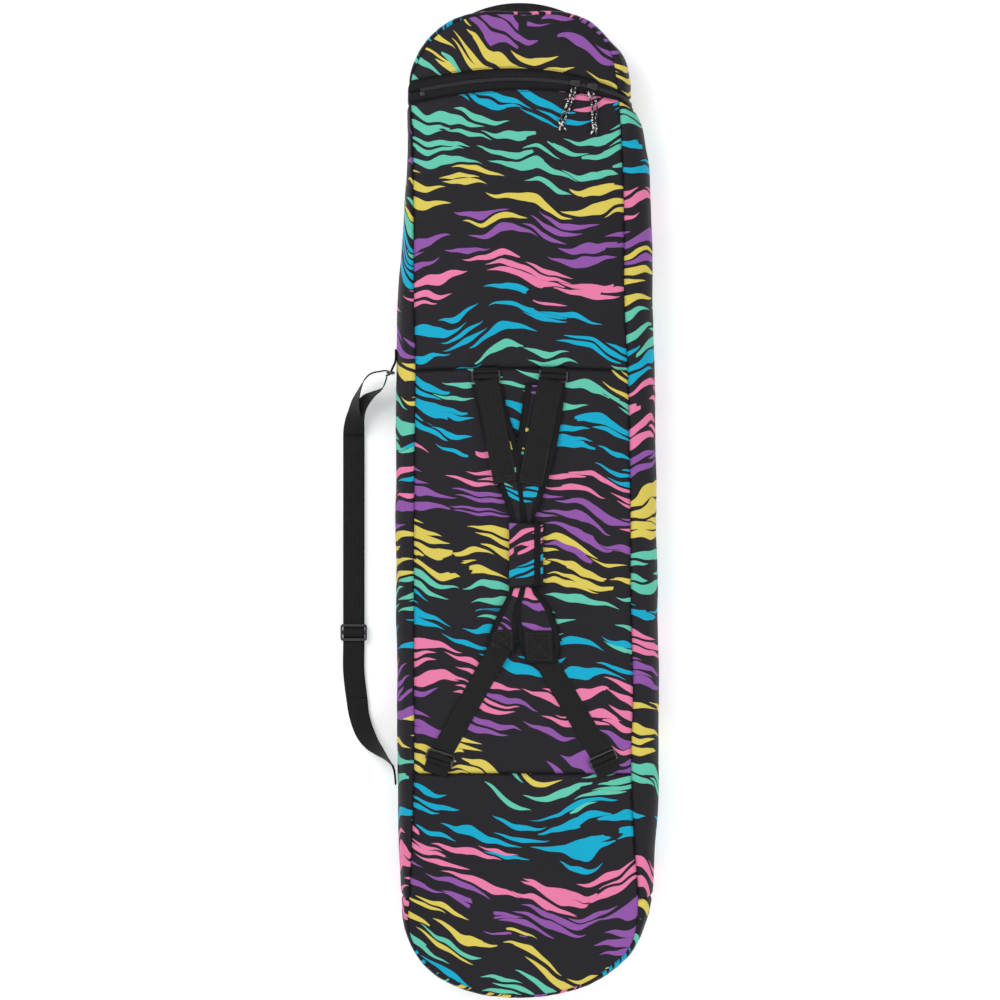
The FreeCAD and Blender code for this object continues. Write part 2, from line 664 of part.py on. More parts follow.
# Upper ring: a rectangular wire ring standing off the gusset; its tab holds it to the seam.
ring = new_body("ring")
ring_sketch = new_sketch(ring, "XZ_Plane")
ring_high, ring_deep, rod = size("ring_height"), size("ring_depth"), size("ring_rod")
draw_rectangle(ring_sketch, (-ring_deep / 2, -ring_high / 2), (ring_deep / 2, ring_high / 2),
               "Sizes.ring_depth", "Sizes.ring_height")
draw_rectangle(ring_sketch, (-ring_deep / 2 + rod, -ring_high / 2 + rod),
               (ring_deep / 2 - rod, ring_high / 2 - rod),
               "Sizes.ring_depth - 2 * Sizes.ring_rod", "Sizes.ring_height - 2 * Sizes.ring_rod")
ring_pad = pad(ring, ring_sketch, "Sizes.ring_rod")
ring_pad.Midplane = True
place(ring, axis_x + 2.5, upper_y + 13, axis_z)
keep(ring, "shoulder_ring")


def side_tab(name, low, high):
    """A webbing tab sewn flat against the left gusset, trimmed to the gusset's surface."""
    tab = block(name + "_block", low, high)
    keep(cut(name + "_trim", tab, bag_form), name)


side_tab("ring_tab", (axis_x + 5.2, upper_y + 15.2, axis_z - 19), (-190, upper_y + 40, axis_z + 19))
side_tab("lower_strap_tab", (axis_x + 2, lower_y - 30, axis_z - 19), (-190, lower_y - 4, axis_z + 19))

# ---------------------------------------------------------------- zip stops

for_stops = block("stop_block", (-3, -3, 0), (3, 3, 2))
stop_x = size("zip_left_end") + 6
stop_y, stop_turn = on_zip(stop_x)
for_stops.Placement = FreeCAD.Placement(V(stop_x, stop_y - 3.6, FRONT_Z - 0.6),
                                        FreeCAD.Rotation(UP, stop_turn))
keep(cut("stop_trim", for_stops, bag_form), "zipper_stop")

# ---------------------------------------------------------------- check and export

doc.recompute()
for item in doc.Objects:
    bad = [state for state in item.State if state in ("Invalid", "Error")]
    if bad:
        raise RuntimeError(f"{item.Label}: {bad}")
for node in NODES:
    if node.Shape.isNull() or not node.Shape.isValid():
        raise RuntimeError(f"{node.Label}: shape is null or not valid")

os.makedirs("parts", exist_ok=True)
for node in NODES:
    node.Shape.exportStep(os.path.join("parts", node.Label + ".step"))
    print(f"{node.Label}: {len(node.Shape.Solids)} solid(s), {node.Shape.Volume / 1000:.1f} cm3")
print(f"{len(NODES)} nodes")
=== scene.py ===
"""Looks of a snowboard bag: printed sewn sleeve, zipped hood, backpack harness and shoulder strap.

Metres, +Y towards the hood, +Z out of the front. Plan sizes below are in millimetres where a name
or a comment says so.
"""
import math

import bmesh
import bpy
import numpy as np
from mathutils import Matrix, Vector


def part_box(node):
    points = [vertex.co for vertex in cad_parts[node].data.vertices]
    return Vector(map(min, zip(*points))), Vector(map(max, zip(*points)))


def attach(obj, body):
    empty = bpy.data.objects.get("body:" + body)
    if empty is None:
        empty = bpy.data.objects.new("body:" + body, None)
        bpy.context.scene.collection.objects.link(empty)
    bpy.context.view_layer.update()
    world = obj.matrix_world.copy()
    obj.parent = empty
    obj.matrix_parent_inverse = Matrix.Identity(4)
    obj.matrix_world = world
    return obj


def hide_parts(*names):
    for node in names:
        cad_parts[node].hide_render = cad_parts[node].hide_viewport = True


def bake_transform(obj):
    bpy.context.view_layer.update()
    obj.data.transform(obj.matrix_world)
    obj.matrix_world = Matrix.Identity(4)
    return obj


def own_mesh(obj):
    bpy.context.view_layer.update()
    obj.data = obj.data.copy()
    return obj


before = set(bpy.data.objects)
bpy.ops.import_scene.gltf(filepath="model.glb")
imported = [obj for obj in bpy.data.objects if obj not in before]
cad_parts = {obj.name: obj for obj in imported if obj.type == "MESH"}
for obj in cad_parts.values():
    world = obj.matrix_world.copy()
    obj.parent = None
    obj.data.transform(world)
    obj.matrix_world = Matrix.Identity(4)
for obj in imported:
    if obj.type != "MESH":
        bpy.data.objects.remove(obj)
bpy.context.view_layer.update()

MM = 0.001

# ---------------------------------------------------------------- places from the frame

FRONT_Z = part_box("front_panel_middle")[1].z
UPPER_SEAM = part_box("front_panel_middle")[1].y
LOWER_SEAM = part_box("front_panel_lower")[1].y
SEAM_Z = FRONT_Z - 0.012           # the front panels' edges lie lower than their middle
BELLY_Z = FRONT_Z * 0.47           # height of the widest line of the gussets
ZIP_CENTRE = np.array([-0.012, 0.113])
ZIP_BOW = 0.524
TAPE = 0.015
ZIP_LEFT = -0.168

# ---------------------------------------------------------------- scene helpers


def link(data, name):
    piece = bpy.data.objects.new(name, data)
    bpy.context.scene.collection.objects.link(piece)
    return piece


def smooth(mesh):
    mesh.polygons.foreach_set("use_smooth", [True] * len(mesh.polygons))


def mesh_piece(name, points, faces, materials, uvs=None, face_slots=None):
    """A mesh piece; uvs holds one (u, v) in metres for each vertex."""
    mesh = bpy.data.meshes.new(name)
    mesh.from_pydata([tuple(point) for point in points], [], faces)
    for material in materials:
        mesh.materials.append(material)
    if uvs is not None:
        layer = mesh.uv_layers.new(name="print")
        corners = np.zeros(len(mesh.loops), np.int32)
        mesh.loops.foreach_get("vertex_index", corners)
        layer.data.foreach_set("uv", np.asarray(uvs, np.float32)[corners].ravel())
    if face_slots is not None:
        mesh.polygons.foreach_set("material_index", face_slots)
    smooth(mesh)
    mesh.update()
    return link(mesh, name)


def grid_faces(rows, columns, closed=False):
    """Quads of a grid, row by row; closed joins the last column to the first."""
    faces = []
    for row in range(rows - 1):
        for column in range(columns if closed else columns - 1):
            after = (column + 1) % columns
            low, high = row * columns, (row + 1) * columns
            faces.append((low + column, low + after, high + after, high + column))
    return faces


def grid_piece(name, points, uvs, materials):
    rows, columns = points.shape[:2]
    return mesh_piece(name, points.reshape(-1, 3), grid_faces(rows, columns), materials, uvs.reshape(-1, 2))


def thicken(piece, thickness, inner_slot=0):
    """Give a cloth sheet its thickness, inwards, with its own material inside."""
    modifier = piece.modifiers.new("thickness", "SOLIDIFY")
    modifier.thickness = thickness
    modifier.offset = -1
    modifier.material_offset = inner_slot
    modifier.material_offset_rim = inner_slot
    return piece


def set_on(piece, body, slot, *nodes):
    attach(piece, body)
    if nodes:
        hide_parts(*nodes)
    return piece


def spline(points, step, closed=False, measured=None):
    """Smooth curve through given points, with about one sample each step, and each point's sample.

    Distances count the first measured columns, and the others are carried along."""
    points = np.asarray(points, float)
    count = len(points)
    spans = count if closed else count - 1
    chord = [np.linalg.norm((points[(i + 1) % count] - points[i])[:measured]) for i in range(spans)]

    def tangent(i):
        if not closed and i == 0:
            return (points[1] - points[0]) / chord[0]
        if not closed and i == count - 1:
            return (points[-1] - points[-2]) / chord[-1]
        before, after = chord[i - 1], chord[i % spans]
        into = (points[i] - points[i - 1]) / before
        out = (points[(i + 1) % count] - points[i]) / after
        return (into * after + out * before) / (before + after)

    samples, starts = [], []
    for i in range(spans):
        a, b = points[i], points[(i + 1) % count]
        slope_a, slope_b = tangent(i) * chord[i], tangent((i + 1) % count) * chord[i]
        starts.append(len(samples))
        steps = max(2, int(round(chord[i] / step)))
        for t in np.arange(steps) / steps:
            samples.append(a * (2 * t**3 - 3 * t**2 + 1) + slope_a * (t**3 - 2 * t**2 + t)
                           + b * (3 * t**2 - 2 * t**3) + slope_b * (t**3 - t**2))
    starts.append(len(samples))
    if not closed:
        samples.append(points[-1])
    return np.array(samples), starts


def run_along(line):
    """Distance along a line at each of its points."""
    return np.concatenate([[0], np.cumsum(np.linalg.norm(np.diff(line, axis=0), axis=1))])


def along(line, shares):
    """Points of a polyline at shares of its length."""
    line = np.asarray(line, float)
    lengths = run_along(line)
    want = np.asarray(shares) * lengths[-1]
    return np.stack([np.interp(want, lengths, line[:, k]) for k in range(line.shape[1])], axis=-1)


def spread(length, step):
    """Shares from 0 to 1, about a step apart and closer together beside both edges."""
    edge = np.array([0, 1.2, 2.6, 4.4, 6.8, 9.8]) * MM / length
    middle = np.linspace(edge[-1], 1 - edge[-1], max(3, int((length - 0.02) / step)))
    return np.concatenate([edge[:-1], middle, 1 - edge[-2::-1]])


# ---------------------------------------------------------------- materials


def srgb(red, green, blue):
    def linear(value):
        value /= 255
        return value / 12.92 if value <= 0.04045 else ((value + 0.055) / 1.055) ** 2.4
    return (linear(red), linear(green), linear(blue), 1)


BASE_CLOTH = srgb(31, 29, 34)
YELLOW = srgb(208, 190, 84)
PURPLE = srgb(136, 80, 156)
PINK = srgb(221, 118, 158)
BLUE = srgb(8, 160, 192)
MINT = srgb(92, 188, 162)


class Tree:
    """Short names for building a material's nodes."""

    def __init__(self, name, roughness, specular=0.4, sheen=0.0):
        self.material = bpy.data.materials.new(name)
        self.material.use_nodes = True
        self.tree = self.material.node_tree
        self.shader = self.tree.nodes["Principled BSDF"]
        self.shader.inputs["Roughness"].default_value = roughness
        self.shader.inputs["Specular IOR Level"].default_value = specular
        self.shader.inputs["Sheen Weight"].default_value = sheen
        self.shader.inputs["Sheen Roughness"].default_value = 0.4

    def node(self, kind, inputs=None, **settings):
        made = self.tree.nodes.new("ShaderNode" + kind)
        for key, value in settings.items():
            setattr(made, key, value)
        for key, value in (inputs or {}).items():
            if isinstance(value, bpy.types.NodeSocket):
                self.tree.links.new(value, made.inputs[key])
            else:
                made.inputs[key].default_value = value
        return made

    def math(self, operation, a, b=0.0):
        return self.node("Math", {0: a, 1: b}, operation=operation).outputs[0]

    def add(self, *terms):
        total = terms[0]
        for term in terms[1:]:
            total = self.math("ADD", total, term)
        return total

    def times(self, a, b):
        return self.math("MULTIPLY", a, b)

    def mix(self, share, a, b):
        made = self.node("Mix", data_type="RGBA")
        for socket, value in ((made.inputs[0], share), (made.inputs[6], a), (made.inputs[7], b)):
            if isinstance(value, bpy.types.NodeSocket):
                self.tree.links.new(value, socket)
            else:
                socket.default_value = value
        return made.outputs[2]

    def noise(self, vector, scale, detail=0.0, stretch=(1, 1, 1), shift=(0, 0, 0), flat=False):
        """Noise about zero."""
        placed = self.node("Mapping", {"Vector": vector, "Location": shift, "Scale": stretch})
        found = self.node("TexNoise", {"Vector": placed.outputs[0], "Scale": scale, "Detail": detail},
                          noise_dimensions="2D" if flat else "3D")
        return self.math("SUBTRACT", found.outputs[0], 0.5)

    def colour(self, value):
        if isinstance(value, bpy.types.NodeSocket):
            self.tree.links.new(value, self.shader.inputs["Base Color"])
        else:
            self.shader.inputs["Base Color"].default_value = value

    def bump(self, height, distance, strength=1.0):
        made = self.node("Bump", {"Height": height, "Distance": distance, "Strength": strength})
        self.tree.links.new(made.outputs[0], self.shader.inputs["Normal"])

    def roughness(self, value):
        self.tree.links.new(value, self.shader.inputs["Roughness"])


def weave_height(tree, uv, pitch):
    """Plain weave: threads over and under each other, in u and v."""
    parts = tree.node("SeparateXYZ", {0: uv})
    turn = 2 * math.pi / pitch
    across = tree.math("SINE", tree.times(parts.outputs[0], turn))
    upward = tree.math("SINE", tree.times(parts.outputs[1], turn))
    return tree.times(across, upward)


def print_material(name, period, shift, seed=0.0, slope=0.15):
    """Printed woven polyester: wavy, tapering and forking stripes whose colours change along v."""
    tree = Tree(name, 0.62, 0.14, 0.015)
    uv = tree.node("UVMap", uv_map="print").outputs[0]
    parts = tree.node("SeparateXYZ", {0: uv})
    u, v = parts.outputs[0], parts.outputs[1]
    bent = tree.add(v, tree.times(u, slope))
    for size, stretch, place in ((0.13, (4.0, 2.0, 1), 3.1), (0.044, (11, 8.5, 1), 7.3),
                                 (0.011, (36, 22, 1), 1.3)):
        wave = tree.noise(uv, 1.0, 0.0, stretch, (place + seed, place * 0.37 + seed, 0), flat=True)
        bent = tree.add(bent, tree.times(wave, size))
    stroke_length, stroke_gap = 0.120, 0.0172
    place = tree.node("CombineXYZ", {0: tree.math("DIVIDE", u, stroke_length),
                                     1: tree.math("DIVIDE", bent, stroke_gap)}).outputs[0]
    place = tree.node("VectorMath", {0: place, 1: (seed * 7.0, 0, 0)}, operation="ADD").outputs[0]
    cells = {"Vector": place, "Scale": 1.0, "Randomness": 1.0, "Exponent": 1.1}
    style = {"voronoi_dimensions": "2D", "distance": "MINKOWSKI"}
    near = tree.node("TexVoronoi", cells, feature="F1", **style)
    second = tree.node("TexVoronoi", cells, feature="F2", **style)
    chance = tree.node("SeparateXYZ", {0: near.outputs["Color"]})
    centre = tree.node("SeparateXYZ", {0: near.outputs["Position"]})
    thickness = tree.add(0.25, tree.times(chance.outputs[0], 0.33))
    inside = tree.math("SUBTRACT", thickness, near.outputs["Distance"])
    forks = tree.add(0.13, tree.times(tree.noise(uv, 22, 0.0, (0.45, 1, 1), (4 + seed, 4, 0), flat=True), 1.6))
    gap = tree.node("Clamp", {0: forks, 1: -0.15, 2: 0.25}).outputs[0]
    between = tree.math("SUBTRACT", tree.math("SUBTRACT", second.outputs["Distance"],
                                              near.outputs["Distance"]), gap)
    edge = tree.math("MINIMUM", inside, tree.times(between, 0.5))
    ink = tree.node("MapRange", {"Value": edge, "From Min": -0.007, "From Max": 0.007}).outputs[0]
    stroke_v = tree.add(tree.times(centre.outputs[1], stroke_gap),
                        tree.times(tree.math("SUBTRACT", chance.outputs[1], 0.5), 0.045))
    phase = tree.math("FRACT", tree.math("DIVIDE", tree.add(stroke_v, shift), period))
    dyes = tree.node("ValToRGB", {"Fac": phase})
    ramp = dyes.color_ramp
    ramp.interpolation = "CONSTANT"
    colours = [YELLOW, PURPLE, PINK, BLUE, MINT]
    for position, dye in enumerate(colours):
        stop = ramp.elements[position] if position < 2 else ramp.elements.new(position / 5)
        stop.position = position / 5
        stop.color = dye
    cloth = tree.mix(ink, BASE_CLOTH, dyes.outputs[0])
    fade = tree.math("ADD", 1.0, tree.times(tree.noise(uv, 9, 2.0), 0.16))
    shade = tree.node("CombineColor", {0: fade, 1: fade, 2: fade}).outputs[0]
    shaded = tree.node("Mix", data_type="RGBA", blend_type="MULTIPLY")
    shaded.inputs[0].default_value = 1.0
    tree.tree.links.new(cloth, shaded.inputs[6])
    tree.tree.links.new(shade, shaded.inputs[7])
    tree.colour(shaded.outputs[2])
    tree.roughness(tree.add(0.60, tree.times(tree.noise(uv, 60, 2.0), 0.18)))
    tree.bump(tree.add(tree.times(weave_height(tree, uv, 0.0011), 0.4), tree.noise(uv, 500, 2.0)), 0.00012)
    return tree.material


def plain_cloth(name, colour, pitch=0.0011, roughness=0.7):
    """Plain woven polyester."""
    tree = Tree(name, roughness, 0.12, 0.015)
    place = tree.node("TexCoord").outputs["Object"]
    lifted = tree.add(1.0, tree.times(tree.noise(place, 30, 3.0), 0.35))
    tint = tree.node("CombineColor", {0: tree.times(lifted, colour[0]), 1: tree.times(lifted, colour[1]),
                                      2: tree.times(lifted, colour[2])}).outputs[0]
    tree.colour(tint)
    tree.roughness(tree.add(roughness, tree.times(tree.noise(place, 80, 2.0), 0.2)))
    tree.bump(tree.add(weave_height(tree, place, pitch), tree.noise(place, 700, 1.0)), 0.00012)
    return tree.material


def webbing_material(name, colour, rib=0.0018, shine=0.14):
    """Woven webbing: ribs across, a fine twill between them, threads lighter where they wear, and a painted highlight
    that makes the rib crests lighter.
    """
    tree = Tree(name, 0.62, shine, shine / 7)
    uv = tree.node("UVMap", uv_map="print").outputs[0]
    parts = tree.node("SeparateXYZ", {0: uv})
    turn = 2 * math.pi / rib
    zigzag = tree.times(tree.math("PINGPONG", parts.outputs[0], 0.0032), 0.9)
    ribs = tree.math("SINE", tree.times(tree.add(parts.outputs[1], zigzag), turn))
    cords = tree.math("SINE", tree.times(parts.outputs[0], turn * 0.62))
    height = tree.add(tree.times(ribs, 0.5), tree.times(cords, 0.5), tree.times(tree.noise(uv, 900, 1.0), 0.6))
    # Painted highlight: the rib crests are tinted lighter; the noise tone varies at random.
    wear_and_crest_highlight = tree.add(1.0, tree.times(tree.noise(uv, 22, 3.0), 0.5), tree.times(ribs, 0.10))
    tint = tree.node("CombineColor", {0: tree.times(wear_and_crest_highlight, colour[0]), 1: tree.times(wear_and_crest_highlight, colour[1]),
                                      2: tree.times(wear_and_crest_highlight, colour[2])}).outputs[0]
    tree.colour(tint)
    tree.roughness(tree.add(0.6, tree.times(tree.noise(uv, 70, 2.0), 0.25)))
    tree.bump(height, 0.00022)
    return tree.material


def plastic_material(name, colour, roughness=0.42):
    """Moulded plastic with a fine spark-eroded grain."""
    tree = Tree(name, roughness, 0.55)
    place = tree.node("TexCoord").outputs["Object"]
    tree.colour(tree.mix(tree.math("ADD", 0.5, tree.noise(place, 40, 2.0)), colour,
                         tuple(min(1, channel * 1.5) for channel in colour[:3]) + (1,)))
    tree.roughness(tree.add(roughness, tree.times(tree.noise(place, 150, 2.0), 0.25)))
    tree.bump(tree.noise(place, 1500, 2.0), 0.00004)
    return tree.material


def cord_material(name):
    """Black braided cord with pale flecks."""
    tree = Tree(name, 0.6, 0.35, 0.1)
    place = tree.node("TexCoord").outputs["Object"]
    found = tree.node("TexVoronoi", {"Vector": place, "Scale": 520.0, "Randomness": 0.9})
    chance = tree.node("SeparateXYZ", {0: found.outputs["Color"]})
    fleck = tree.math("GREATER_THAN", chance.outputs[0], 0.70)
    tree.colour(tree.mix(fleck, srgb(24, 24, 27), srgb(214, 214, 208)))
    tree.bump(found.outputs["Distance"], 0.0003)
    return tree.material


PLAIN = plain_cloth("plain_cloth", srgb(28, 27, 30))
LINING = plain_cloth("lining_cloth", srgb(24, 24, 26), 0.0014)
BINDING = plain_cloth("binding_cloth", srgb(22, 22, 24), 0.0016)
WEBBING = webbing_material("black_webbing", srgb(25, 25, 26))
# The haul handle's webbing is a darker copy of the black webbing: painted shade for the shadow the handle lies in.
SHADED_HAUL_WEBBING = webbing_material("haul_webbing_painted_shade", srgb(13, 13, 13), shine=0.03)
TAPE_CLOTH = webbing_material("zip_tape", srgb(24, 24, 26), 0.0012)
THREAD = plain_cloth("sewing_thread", srgb(66, 65, 68), 0.0006)
GLIDE = plastic_material("glide_plastic", srgb(38, 38, 41), 0.22)
COIL = plastic_material("coil_nylon", srgb(34, 34, 36), 0.35)
METAL = plastic_material("slider_paint", srgb(30, 30, 32), 0.3)
CORD = cord_material("fleck_cord")
PRINT = {
    "upper": print_material("print_upper", 0.37, 0.497, 1.7, -0.06),
    "middle": print_material("print_middle", 0.36, 0.126, 0.0, 0.36),
    "lower": print_material("print_lower", 0.33, 0.377, 4.2, 0.22),
    "hood": print_material("print_hood", 0.50, -0.60, 5.3, 0.40),
    "right": print_material("print_right_gusset", 0.33, 0.05, 8.8),
    "left": print_material("print_left_gusset", 0.30, 0.12, 11.3),
    "strap": print_material("print_strap", 0.30, 0.07, 2.6),
}

# ---------------------------------------------------------------- the sleeve's plan

# Round the sleeve from the middle of the foot, up the right side and back down the left: the
# outline's x and y, then the front seam's x and y, in millimetres.
STATIONS = [
    (-6, -759, -6, -752), (50, -753, 48, -746), (98, -738, 92, -730), (131, -717, 122, -709),
    (163, -686, 153, -681), (183, -640, 166, -642), (190, -603, 167.8, -605), (195, -534, 163, -534),
    (200, -457, 158.5, -457), (200.5, -380, 157.5, -380), (201, -305, 160, -305), (200, -160, 157, -160),
    (198, 0, 156, 0), (195, 183, 152.5, 183), (192, 305, 147, 305), (189, 457, 146, 457),
    (182, 530, 142.5, 540), (165, 592, 138.3, 607), (158.5, 601, 137.5, 613.5), (158, 609, 137, 620.5),
    (155.5, 642, 133, 652), (147, 675, 128, 676), (125, 702, 115, 698), (95, 731, 86, 722),
    (58, 743.5, 53, 735), (-5, 744.5, -5, 737), (-80, 743.5, -77, 735), (-120, 731, -112, 723),
    (-155, 702, -147, 697), (-176, 668, -168, 666), (-184, 632, -179, 634), (-184.5, 600, -179, 602),
    (-185, 560, -177, 560), (-189, 457, -175, 457), (-200, 305, -174.3, 305), (-202, 198, -172, 198),
    (-202.5, 60, -173.5, 60), (-203, -60, -174.3, -60), (-202, -250, -174.3, -250),
    (-201, -415, -174.3, -415), (-198, -534, -178, -534), (-195, -603, -181.3, -606),
    (-191, -645, -183, -646), (-176, -686, -170, -682), (-150, -720, -143, -712), (-110, -742, -105, -734),
    (-60, -755, -58, -748),
]
FOOT_LEFT, FOOT_RIGHT = 41, 6      # stations where the gusset's pieces meet
TAPE_LOW, TAPE_MID, TAPE_HIGH = 17, 18, 19
FOLD_HIGH, FOLD_LOW = 30, 31
STEP = 0.006
BACK_INSET = 0.024
BACK_Z = 0.0035

loop_plan, loop_starts = spline([[value * MM for value in station] for station in STATIONS], STEP, True)
OUTLINE, SEAM = loop_plan[:, :2], loop_plan[:, 2:]
LOOP = len(OUTLINE)
heading = np.roll(OUTLINE, -1, axis=0) - np.roll(OUTLINE, 1, axis=0)
heading /= np.linalg.norm(heading, axis=1)[:, None]
inward = np.stack([-heading[:, 1], heading[:, 0]], axis=1)
BACK = OUTLINE + inward * BACK_INSET
LOOP_RUN = run_along(OUTLINE)


def loop_between(first, last):
    """Sample numbers round the loop from one station to another, wrapping past the start."""
    start, end = loop_starts[first], loop_starts[last]
    if end <= start:
        end += LOOP
    return np.arange(start, end + 1) % LOOP


def hills(x, y, seed=0.0):
    """Slow unevenness of soft cloth, about -1 to 1."""
    return (np.sin(23 * x + 11 * y + 1.3 + seed) * np.sin(9 * y - 17 * x + 0.4 + seed)
            + 0.55 * np.sin(41 * y + 19 * x + 2.2 + seed) * np.sin(31 * x - 8 * y + seed)
            + 0.3 * np.sin(83 * y - 46 * x + seed) * np.sin(61 * x + 37 * y + 1.1)) / 1.6


def seam_distance(points):
    """Distance in plan from each point to the front seam."""
    flat = points.reshape(-1, 2)
    nearest = np.empty(len(flat))
    for first in range(0, len(flat), 4000):
        part = flat[first:first + 4000]
        nearest[first:first + 4000] = np.sqrt(
            ((part[:, None, :] - SEAM[None, :, :]) ** 2).sum(2).min(1))
    return nearest.reshape(points.shape[:-1])


DOME_WIDTH = 0.085


def front_height(points):
    """Height of the front panels over plan points: domed, slightly uneven, lower at the seams."""
    points = np.asarray(points, float)
    share = np.clip(seam_distance(points) / DOME_WIDTH, 0, 1)
    dome = 1 - (1 - share) ** 2
    x, y = points[..., 0], points[..., 1]
    return SEAM_Z + (FRONT_Z - 0.0012 - SEAM_Z) * dome + 0.0013 * hills(x, y) * np.minimum(1, share * 3)


def on_front(x, y, lift=0.0):
    """One point on the front panels, in metres."""
    return Vector((x, y, float(front_height(np.array([[x, y]]))[0]) + lift))


def sewn_edges(points, shares_u, shares_v):
    """Roll a panel's edges down into its seams, with a soft swell and small puckers beside them."""
    width = np.linalg.norm(points[:, -1, :2] - points[:, 0, :2], axis=1)[:, None]
    height = np.linalg.norm(points[-1, :, :2] - points[0, :, :2], axis=1)[None, :]
    side = np.minimum(shares_u, 1 - shares_u)[None, :] * width
    end = np.minimum(shares_v, 1 - shares_v)[:, None] * height
    near = np.minimum(side, end)
    x, y = points[..., 0], points[..., 1]
    groove = 0.0042 * np.exp(-((near / 0.0026) ** 2))
    swell = 0.0016 * (1 - np.exp(-near / 0.008)) - 0.0016
    ripple = (np.exp(-end / 0.024) * np.sin(x * 250 + 3 * np.sin(31 * x)) * 0.00055
              + np.exp(-side / 0.020) * np.sin(y * 230 + 4 * np.sin(13 * y)) * 0.0007)
    ripple *= 1 - np.exp(-near / 0.004)
    points[..., 2] += swell - groove + ripple
    return points


def coons(bottom, top, left, right, step=0.0055):
    """Grid over four edges that meet at their ends, with shares along u and v."""
    width = np.linalg.norm(np.diff(bottom, axis=0), axis=1).sum()
    height = np.linalg.norm(np.diff(left, axis=0), axis=1).sum()
    shares_u, shares_v = spread(max(width, 0.1), step), spread(max(height, 0.05), step)
    low, high = along(bottom, shares_u), along(top, shares_u)
    near, far = along(left, shares_v), along(right, shares_v)
    u, v = shares_u[None, :, None], shares_v[:, None, None]
    grid = ((1 - v) * low[None] + v * high[None] + (1 - u) * near[:, None] + u * far[:, None]
            - (1 - u) * (1 - v) * low[0] - u * (1 - v) * low[-1] - (1 - u) * v * high[0] - u * v * high[-1])
    return grid, shares_u, shares_v


def cut_at(line, y):
    """A line that climbs in y, from its point at that height upwards, and up to it."""
    index = int(np.searchsorted(line[:, 1], y))
    share = (y - line[index - 1, 1]) / (line[index, 1] - line[index - 1, 1])
    point = line[index - 1] + (line[index] - line[index - 1]) * share
    return np.vstack([line[:index], point]), np.vstack([point, line[index:]])


def arc_row(radius, left_point, right_point):
    """A line along the zip's arc at a radius, ending at two points."""
    x = np.linspace(left_point[0], right_point[0], 60)
    y = ZIP_CENTRE[1] + np.sqrt(radius**2 - (x - ZIP_CENTRE[0]) ** 2)
    blend = np.linspace(0, 1, 60)
    y += (left_point[1] - y[0]) * (1 - blend) ** 6 + (right_point[1] - y[-1]) * blend ** 4
    return np.stack([x, y], axis=1)


def seam_row(left_point, right_point, arch):
    """A seam across the front, bowed a little towards the hood."""
    t = np.linspace(0, 1, 40)[:, None]
    row = left_point + (right_point - left_point) * t
    row[:, 1] += (arch * 4 * t * (1 - t))[:, 0]
    return row


right_seam = SEAM[loop_between(FOOT_RIGHT, TAPE_LOW)]
left_seam = SEAM[loop_between(FOLD_LOW, FOOT_LEFT)][::-1]
right_low, right_rest = cut_at(right_seam, LOWER_SEAM)
right_mid, right_up = cut_at(right_rest, UPPER_SEAM - 0.002)
left_low, left_rest = cut_at(left_seam, LOWER_SEAM)
left_mid, left_up = cut_at(left_rest, UPPER_SEAM - 0.002)
UPPER_ROW = seam_row(left_mid[-1], right_mid[-1], 0.004)
LOWER_ROW = seam_row(left_low[-1], right_low[-1], 0.001)
foot_corner_left, foot_corner_right = 44, 3
foot_bottom = SEAM[loop_between(foot_corner_left, foot_corner_right)]
foot_left = np.vstack([SEAM[loop_between(FOOT_LEFT, foot_corner_left)][::-1], left_low[1:]])
foot_right = np.vstack([SEAM[loop_between(foot_corner_right, FOOT_RIGHT)], right_low[1:]])
zip_low = arc_row(ZIP_BOW - TAPE, left_up[-1], right_up[-1])
fold_middle = loop_starts[FOLD_LOW] - (loop_starts[FOLD_LOW] - loop_starts[FOLD_HIGH]) // 2
zip_middle = arc_row(ZIP_BOW, SEAM[fold_middle], SEAM[loop_starts[TAPE_MID]])
zip_high = arc_row(ZIP_BOW + TAPE, SEAM[loop_starts[FOLD_HIGH]], SEAM[loop_starts[TAPE_HIGH]])
hood_right_corner, hood_left_corner = 23, 27
hood_top = SEAM[loop_between(hood_right_corner, hood_left_corner)][::-1]
hood_left = SEAM[loop_between(hood_left_corner, FOLD_HIGH)][::-1]
hood_right = SEAM[loop_between(TAPE_HIGH, hood_right_corner)]


def front_panel(name, body, dye, bottom, top, left, right, flip=1):
    plan, shares_u, shares_v = coons(bottom, top, left, right)
    points = np.dstack([plan, front_height(plan)])
    points = sewn_edges(points, shares_u, shares_v)
    uvs = plan * np.array([1, flip])
    piece = grid_piece(name, points, uvs, [PRINT[dye], LINING])
    thicken(piece, 0.0012, 1)
    return set_on(piece, body, "print_fabric", name.replace("_cloth", ""))


front_panel("front_panel_upper_cloth", "bag", "upper", UPPER_ROW, zip_low, left_up, right_up, -1)
front_panel("front_panel_middle_cloth", "bag", "middle", LOWER_ROW, UPPER_ROW, left_mid, right_mid)
front_panel("front_panel_lower_cloth", "bag", "lower", foot_bottom, LOWER_ROW, foot_left, foot_right)
front_panel("hood_front_panel_cloth", "hood", "hood", zip_high, hood_top, hood_left, hood_right)


# ---------------------------------------------------------------- gussets and back

